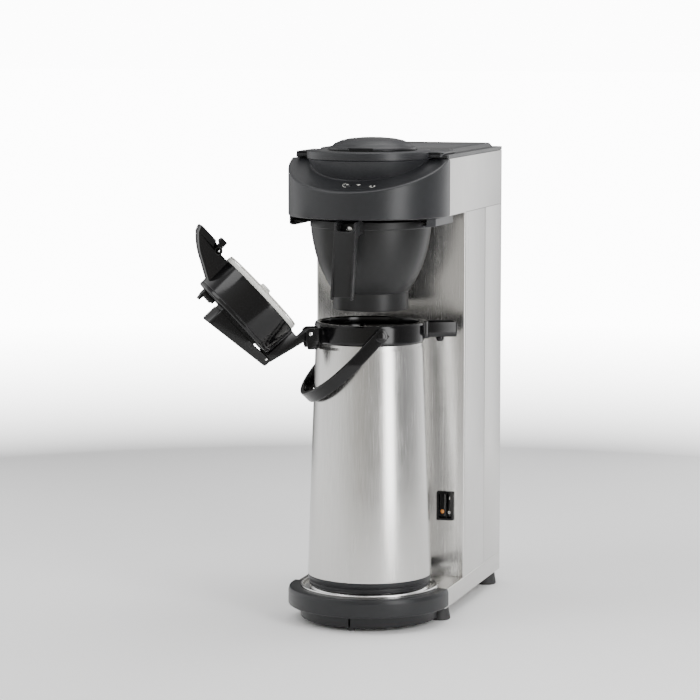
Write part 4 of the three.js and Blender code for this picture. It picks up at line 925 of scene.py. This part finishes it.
def build_collar():
    t = LID_BASE
    b = t - 24.5
    ring = spun([
        (66.3, b, 0.5), (67.6, b + 1.6, 1.5), (68, b + 6, 0), (67.9, t - 3, 2),
        (66.8, t - 0.4, 0.9), (65.2, t, 0.7), (62.4, t, 0.7), (61.0, t - 1.4, 1.0),
        (60.5, t - 8, 0.6), (54, t - 8.5, 1), (52, t - 20, 2), (46, b + 2.6, 0.6), (46, b, 0.4),
    ], steps=5)
    bore = rod(2.8, (-90, 90), (0, t - 11.5), "XZ", 0)
    box_top = t - 2
    box_low = box_top - 18.5
    outline = rectangle((62, 107.5), (-14, 14), 3.2, 6)

    def trough(depth, z):
        return [(x, y, z) for x, y in inset(outline, depth)]

    box = loft([
        trough(2.0, box_low), trough(0.6, box_low + 0.5), trough(0, box_low + 2),
        trough(0, box_top - 1), trough(0.3, box_top - 0.3), trough(0.9, box_top),
        trough(1.9, box_top), trough(2.4, box_top - 0.6), trough(2.5, box_low + 4),
        trough(4.0, box_low + 2.5),
    ])
    back_wall = brick((62, 71), (-17, 17), (box_low - 1, t - 0.4), 0.7, 2)
    outlet = rod(3, (box_low - 2, box_low + 4), (SPOUT_X, 0), "XY", 0)
    throat = [(0, b - 8), (51.5, b - 8), (53.5, t - 9), (60.6, t - 8), (60.6, t + 4), (0, t + 4)]
    lug_shape = rounded([
        (-62, b + 1, 0.5), (-68.5, b - 8, 1), (-79.5, b - 8, 1.5), (-82, HINGE.z - 6, 3),
        (-82, HINGE.z + 4, 4), (-77, HINGE.z + 6.5, 3), (-62, HINGE.z + 6.5, 1),
    ], steps=5)
    near, far = ARM_HALF + GAP, ARM_HALF + GAP + LUG
    lugs = [prism(lug_shape, across(side, near, far), 0.7, "XZ") for side in (-1, 1)]
    pin_bore = rod(2.7, (-60, 60), HINGE_AT, "XZ", 0)
    piece(
        "pot_collar", "airpot", "gloss_black", [ring, back_wall, box, *lugs], ["airpot_collar"],
        POT, cuts=[turned(throat), bore, outlet, pin_bore],
    )
    nozzle = [(3, -6), (4.2, -6), (5, -3), (5, -GAP), (3, -GAP)]
    nozzle = spun([(r, box_low + z) for r, z in nozzle], 0.4, sides=40, centre=(SPOUT_X, 0))
    piece("pour_nozzle", "airpot", "gloss_black", [nozzle], ["spout_nozzle"], POT)
    pin = rod(2.5, (-far - 2, far + 2), (-76.5, HINGE.z), "XZ", 0.9, 32)
    piece("hinge_pin", "airpot", "bright_steel", [pin], ["lid_hinge_pin"], POT)


def build_bail():
    pivot = own(JOINTS["bail_swing"]["pos_m"])
    inner, thick, wide, length = 69.5, 5.5, 16.0, 115.0
    centre = -(length - inner - thick)
    track = inner + thick / 2
    swing = POT @ Matrix.Translation((0, 0, pivot.z)) @ Matrix.Rotation(-math.radians(45.5), 4, "Y")
    bend = arc(track, math.pi / 2, 3 * math.pi / 2, 40, (centre, 0))
    path = [(wide / 2 - 1, track), *bend, (wide / 2 - 1, -track)]
    rings = []
    points = [Vector((x, y, 0)) for x, y in path]
    for i, point in enumerate(points):
        ahead = (points[min(i + 1, len(points) - 1)] - points[max(i - 1, 0)]).normalized()
        outward = Vector((-ahead.y, ahead.x, 0))
        grip = smooth_step((-point.x - 84) / 12)
        half_wide = wide / 2 - 0.4 + 0.3 * grip
        half_thick = thick / 2 - 0.35 + 0.3 * grip
        section = rectangle((-half_thick, half_thick), (-half_wide, half_wide), 1.3 + 0.7 * grip)
        rings.append([tuple(point + outward * u + Vector((0, 0, v))) for u, v in section])
    strap = loft(rings)
    eyes = []
    bores = []
    for side in (-1, 1):
        eyes.append(rod(wide / 2, across(side, inner, inner + thick), (0, 0), "XZ", 0.8, 48))
        bores.append(rod(2.6, across(side, 60, 90), (0, 0), "XZ", 0))
    piece("bail_strap", "bail_handle", "gloss_black", [strap, *eyes], ["bail"], swing, cuts=bores)
    for side, node in ((-1, "bail_pin_front"), (1, "bail_pin_rear")):
        outside = inner + thick
        shank = rod(2.3, across(side, 60, 76), (0, pivot.z), "XZ", 0.3, 28)
        cap = rod(5, across(side, outside + GAP, outside + 2.5), (0, pivot.z), "XZ", 0.9)
        piece(f"{node}_cap", "airpot", "gloss_black", [shank, cap], [node], POT)


def smooth_step(t):
    t = min(1.0, max(0.0, t))
    return t * t * (3 - 2 * t)


# ---- airpot lid, drawn closed

LID_TOP = LID_BASE + GAP + 43.2
BOSS_AT = (75.6, LID_BASE + 0.5)  # the latch turns here
LEVER_AT = (-62, LID_BASE + 48)  # and the press lever here


def build_lid():
    t, top = LID_BASE, LID_TOP
    bottom = t + GAP

    def raised(points):
        return [(x, t + z) for x, z in points]

    drum = spun([
        (0, top - 0.3, 0), (52, top - 0.3, 1), (54, top, 1), (58.0, top, 1.0),
        (59.5, top - 1.4, 1.2), (59.5, top - 4.2, 0.8), (59.0, top - 5.0, 0.4),
        (59.5, top - 5.8, 0.8), (60.3, bottom + 8, 4), (60.3, bottom, 0.5),
        (58.3, bottom, 0.4), (58.3, top - 6.5, 2), (56.5, top - 2.8, 2), (0, top - 2.8, 0),
    ], steps=5)
    crest = [(50, 37), (57, 34), (66, 29.6), (75, 25)]
    crest += [(84, 20.6), (92, 16.2), (101, 9.6), (109, 2.4)]
    chin = [(112, -4.2), (111.5, -6.5), (87, -6.5), (84.5, -2.5), (83.4, 0.8)]
    crest, chin = raised(crest), raised(chin)
    fin = [(50, t + 0.8), *curve(crest, 4), *chin]
    visor = prism(rounded(fin, 0.8), (-17.6, 17.6), 0.9, "XZ")
    ceiling = raised([(62, 27), (74.5, 21.2), (90.5, 13.4), (100, 7), (108, -0.4)])
    room = [(62, t - 10), *curve(ceiling, 4), (111, t - 6), (111, t - 10)]
    room = prism(room, (-15, 15), 0, "XZ")
    boss = rod(5.2, (-18, 18), BOSS_AT, "XZ", 0.8)
    boss_rooms = [rod(3.8, across(side, 16.6, 20), BOSS_AT, "XZ", 0) for side in (-1, 1)]
    boss_rooms.append(rod(2.1, (-30, 30), BOSS_AT, "XZ", 0, 28))
    hinge_x = HINGE.x
    arm_outline = rounded([
        (-50, top - 1.5, 0.5), (-50, top, 0.5), (-62, top + 8, 2.5), (-69, top + 3, 3),
        (hinge_x - 4.5, t - 6, 3), (hinge_x - 5.5, HINGE.z + 1, 3),
        (hinge_x - 3.6, HINGE.z - 4.4, 3), (hinge_x + 3.6, HINGE.z - 4.4, 3),
        (hinge_x + 5.5, HINGE.z + 1, 3), (-70.6, t + 0.8, 1), (-60, t + 0.8, 0.5),
        (-60, top - 1.5, 0.5),
    ], steps=5)
    arm = prism(arm_outline, (-ARM_HALF, ARM_HALF), 0.8, "XZ")
    trench = [(-66.5, top + 8), (-71, top + 8), (hinge_x - 20, t - 4), (hinge_x, t - 4)]
    trench.append((-65.8, top + 2))
    trench = prism(rounded(trench, 0.6), (-7.1, 7.1), 0, "XZ")
    lever_hole = rounded([(-38, -27), (27, -31.5), (27, 31.5), (-38, 27)], 3)
    lever_hole = prism(lever_hole, (top - 5, top + 1.5), 0)
    pin_bores = [rod(2.8, (-40, 40), HINGE_AT, "XZ", 0), rod(1.8, (-40, 40), LEVER_AT, "XZ", 0)]
    piece(
        "lid_drum", "airpot_lid", "gloss_black", [drum, visor, boss, arm], ["lid_shell"], LID,
        cuts=[room, *boss_rooms, trench, lever_hole, *pin_bores],
    )
    pin = rod(1.5, (-17, 17), BOSS_AT, "XZ", 0.5, 28)
    piece("latch_rod", "airpot_lid", "bright_steel", [pin], ["latch_pin"], LID)
    pin = rod(1.5, (-14.6, 14.6), LEVER_AT, "XZ", 0.4, 24)
    piece("lever_rod", "airpot_lid", "bright_steel", [pin], ["lever_pin"], LID)


def build_lid_underside():
    t = LID_BASE
    under = t - 5.5
    disc = spun([
        (0, under - 8, 0), (6.4, under - 8, 1.2), (7.2, under - 5.2, 0.6),
        (8.8, under - 4.8, 0.7), (9.2, under - 1.6, 0.8), (12, under - 0.2, 0.8),
        (30, under - 0.2, 0.4), (30.6, under - 2.2, 0.6), (33.4, under - 2.2, 0.6),
        (34, under, 0.4), (42, under, 0.3), (42.4, under - 1.0, 0.4), (44.6, under - 1.0, 0.4),
        (45, under, 0.3), (56.8, under, 0.6), (57.8, under + 1.2, 0.5), (57.8, t, 0.2), (0, t, 0),
    ], steps=4)
    piece("lid_disc", "airpot_lid", "white_plastic", [disc], ["lid_inner_disc"], LID)
    seal = spun([
        (54, under - 2.2), (56.4, under - 2.2), (57.0, under - 1.8), (56.5, under - 1.4),
        (57.3, under - 0.9), (56.9, under - 0.5), (57.7, under - GAP), (54, under - GAP),
    ], 0.2)
    piece("lid_gasket", "airpot_lid", "silicone", [seal], ["lid_seal"], LID)
    folds = [(26 if i % 2 else 20, t + 1.5 + 4.5 * i, 1.4) for i in range(6)]
    lining = [(bulge - 1.6, z, bend) for bulge, z, bend in folds]
    cap, roof = t + 30.5, t + 27.5
    bellows = [(0, cap, 0), (16, cap, 1), *reversed(folds), *lining, (14, roof, 1), (0, roof, 0)]
    bellows = spun(bellows, steps=4, sides=72)
    piece("pump_bellows", "airpot_lid", "rubber", [bellows], ["lid_bellows"], LID)


def build_lid_controls():
    low_z = LID_TOP + GAP
    slider = [brick((32, 51), (-9, 9), (low_z, low_z + 6), 0.8, 2)]
    for i in range(4):
        x = 35 + 3.6 * i
        slider.append(brick((x, x + 1.6), (-7.5, 7.5), (low_z + 5, low_z + 7.6), 0.4, 0.5))
    thumb = rounded([(46, low_z + 5), (46.5, low_z + 14), (49, low_z + 14), (51, low_z + 5)])
    slider.append(prism(thumb, (-7.5, 7.5), 0.6, "XZ"))
    piece("lock_slider", "lock_tab", "gloss_black", slider, ["pump_lock"], LID)

    x, z = BOSS_AT
    hook_outline = rounded([
        (x - 3, z, 0.5), (x - 2, z - 15, 0.8), (x + 7, z - 15, 1.2), (x + 7, z - 9.6, 1.2),
        (x + 3.6, z - 7.6, 1.2), (x + 3.5, z, 0.5),
    ], steps=4)
    hub = rod(4.4, (-8, 8), BOSS_AT, "XZ", 0.5)
    hook = prism(hook_outline, (-7.9, 7.9), 0.6, "XZ")
    hub_bore = rod(2.3, (-12, 12), BOSS_AT, "XZ", 0, 28)
    piece("latch_hook", "latch", "gloss_black", [hub, hook], ["lid_latch"], LID, cuts=[hub_bore])


def build_lever():
    t = LID_BASE
    half = [(-68, 13.2, 3), (-30, 26, 20), (23, 29, 5)]
    outline = rounded([(x, -y, bend) for x, y, bend in half] + half[::-1], steps=5)

    def under(x, lift=0.0):
        """The lever's lower face, which steps up in front of its pivot."""
        step = 2.4 * max(0.0, min(1.0, (x + 56) / 6))
        return t + 44.6 + lift + step + max(0.0, x + 50) * 0.0137

    def over(x, drop=0.0):
        """Its upper face, which rises towards the tip."""
        return t + 51.6 + (x + 90) * (18.3 / 118) - drop

    def ring(depth, height):
        return [(x, y, height(x)) for x, y in inset(outline, depth)]

    cap = loft([
        ring(6, lambda x: over(x, 2.4)), ring(3.2, lambda x: over(x, 2.8)),
        ring(2.2, lambda x: max(over(x, 4.2), under(x, 0.2))), ring(2.2, lambda x: under(x)),
        ring(0.6, lambda x: under(x)), ring(0, lambda x: under(x, 0.6)),
        ring(0, lambda x: max(over(x, 2.6), under(x, 0.7))),
        ring(0.5, lambda x: max(over(x, 1.0), under(x, 0.8))), ring(1.5, lambda x: over(x, 0.25)),
        ring(2.6, lambda x: over(x, 0.0)), ring(3.4, lambda x: over(x, 0.5)),
        ring(6, lambda x: over(x, 0.5)),
    ])
    bore = rod(1.8, (-40, 40), LEVER_AT, "XZ", 0, 28)
    half = [(-36, 24.2), (-30, 24.6), (21.5, 27.4)]
    hem = [(x, -y) for x, y in half] + half[::-1]
    skirt = loft([
        [(x, y, z) for x, y in inset(hem, depth)]
        for depth, z in ((0, t + 41.2), (0, t + 51), (1.5, t + 51), (1.5, t + 41.2))
    ], closed=True)
    piece("press_lever", "pump", "gloss_black", [cap, skirt], ["pump_lever"], LID, cuts=[bore])


# ---- the CAD nodes that stay


def finish_nodes():
    """The CAD nodes that stay in view get their slot's material."""
    for entry in frame["record"]["subparts"]:
        node = frame["nodes"][entry["node"]]
        if node.hide_render:
            continue
        node.data.materials.clear()
        node.data.materials.append(FINISH[entry["material_slot"]])


# ---- studio

# The cards' light by their direction in degrees: 0 is behind the brewer, 90 to its right.
CARDS = [
    (-180, (0.62, 0.60, 0.56)), (-160, (0.90, 0.89, 0.86)), (-130, (1.35, 1.35, 1.34)),
    (-78, (1.60, 1.60, 1.60)), (-58, (0.85, 0.85, 0.85)), (-44, (0.12, 0.12, 0.12)),
    (-24, (0.10, 0.10, 0.10)), (-12, (0.5, 0.5, 0.5)), (0, (0.20, 0.20, 0.22)),
    (10, (0.9, 0.9, 0.9)), (22, (2.0, 2.0, 2.0)), (48, (1.3, 1.3, 1.3)), (70, (0.6, 0.6, 0.6)),
    (100, (0.30, 0.30, 0.30)), (114, (0.35, 0.35, 0.35)), (120, (9.0, 9.0, 9.0)),
    (130, (9.0, 9.0, 9.0)), (138, (0.50, 0.49, 0.47)), (158, (0.50, 0.49, 0.47)),
    (180, (0.62, 0.60, 0.56)),
]
CARD_RADIUS, CARD_TOP = 1.35, 1.5
CEILING = 0.7
BACKDROP = 12.0


def softbox(name, place, size, power):
    lamp = bpy.data.lights.new(name, "AREA")
    lamp.shape = "RECTANGLE"
    lamp.size, lamp.size_y = size
    lamp.energy = power
    box = bpy.data.objects.new(name, lamp)
    box.location = place
    aim = Vector((0, 0, 0.3)) - box.location
    box.rotation_euler = aim.to_track_quat("-Z", "Y").to_euler()
    bpy.context.collection.objects.link(box)


def build_cards():
    """A ring of bright and dark cards that the steel mirrors and the camera doesn't see."""
    n = Nodes("cards")
    split = n.add("ShaderNodeSeparateXYZ", {0: n.place})
    angle = n.add("ShaderNodeMath", {0: split.outputs[0], 1: split.outputs[1]}, operation="ARCTAN2")
    share = n.between(angle.outputs[0], 0.0, 1.0, -math.pi, math.pi)
    around = n.add("ShaderNodeValToRGB", {"Fac": share})
    ramp = around.color_ramp
    ramp.elements.remove(ramp.elements[-1])
    ramp.elements[0].position = 0
    ramp.elements[0].color = (*CARDS[0][1], 1)
    for degrees, color in CARDS[1:]:
        ramp.elements.new((degrees + 180) / 360).color = (*color, 1)
    n.use(Base_Color=(0, 0, 0, 1), Roughness=1.0)
    n.use(Emission_Color=around.outputs[0], Emission_Strength=1.0)
    ring = bpy.data.objects.new("cards", bpy.data.meshes.new("cards"))
    points = circle(CARD_RADIUS, sides=96)
    corners = [(x, y, z) for z in (0.002, CARD_TOP) for x, y in points]
    sides = [(i, (i + 1) % 96, (i + 1) % 96 + 96, i + 96) for i in range(96)]
    ring.data.from_pydata(corners, [], sides)
    ring.data.materials.append(n.material)
    bpy.context.collection.objects.link(ring)
    ring.visible_camera = False
    ring.visible_shadow = False


def build_world():
    """White behind the brewer for the camera, and a plain soft light from above."""
    world = bpy.data.worlds.new("studio")
    bpy.context.scene.world = world
    world.use_nodes = True
    tree = world.node_tree
    seen = tree.nodes.new("ShaderNodeMapRange")
    camera_ray = tree.nodes.new("ShaderNodeLightPath").outputs["Is Camera Ray"]
    tree.links.new(camera_ray, seen.inputs["Value"])
    tree.nodes["Background"].inputs["Color"].default_value = (1, 1, 1, 1)
    seen.inputs["To Min"].default_value = CEILING
    seen.inputs["To Max"].default_value = BACKDROP
    tree.links.new(seen.outputs[0], tree.nodes["Background"].inputs["Strength"])


def build_studio():
    floor = bpy.data.objects.new("floor", bpy.data.meshes.new("floor"))
    corners = [(-40, -40, 0), (40, -40, 0), (40, 40, 0), (-40, 40, 0)]
    floor.data.from_pydata(corners, [], [(0, 1, 2, 3)])
    bpy.context.collection.objects.link(floor)
    n = Nodes("floor")
    pale = n.tint(n.noise(3), (0.93, 0.93, 0.93), (0.95, 0.95, 0.95))
    distance = n.add("ShaderNodeVectorMath", {0: n.place}, operation="LENGTH").outputs["Value"]
    glow = n.between(distance, 0.0, BACKDROP, CARD_RADIUS, 3.4)
    n.use(Base_Color=pale, Roughness=0.9, Emission_Color=(1, 1, 1, 1), Emission_Strength=glow)
    floor.data.materials.append(n.material)
    build_world()
    build_cards()
    softbox("key", (-1.0, -0.9, 2.2), (1.0, 1.0), 14)
    softbox("top", (0.3, 0.5, 2.8), (2.0, 2.0), 40)


def build_camera():
    """The camera looks from the front right, a little above."""
    yaw, pitch, distance = math.radians(17.13), math.radians(6.65), 3.435
    right = Vector((math.cos(yaw), math.sin(yaw), 0))
    level = Vector((-math.sin(yaw), math.cos(yaw), 0))
    ahead = level * math.cos(pitch) - Vector((0, 0, math.sin(pitch)))
    target = Vector((AXIS.x, AXIS.y, 0.3353)) - right * 0.0243
    data = bpy.data.cameras.new("camera")
    data.sensor_width = 36
    data.lens = 143.5
    camera = bpy.data.objects.new("camera", data)
    camera.location = target - ahead * distance
    camera.rotation_euler = ahead.to_track_quat("-Z", "Y").to_euler()
    bpy.context.collection.objects.link(camera)
    bpy.context.scene.camera = camera


build_camera()
build_studio()
build_base()
build_column()
build_switch()
build_head()
build_top()
build_rails()
build_basket()
build_grip()
build_airpot()
build_lid()
build_lid_underside()
build_lever()
build_lid_controls()
finish_nodes()
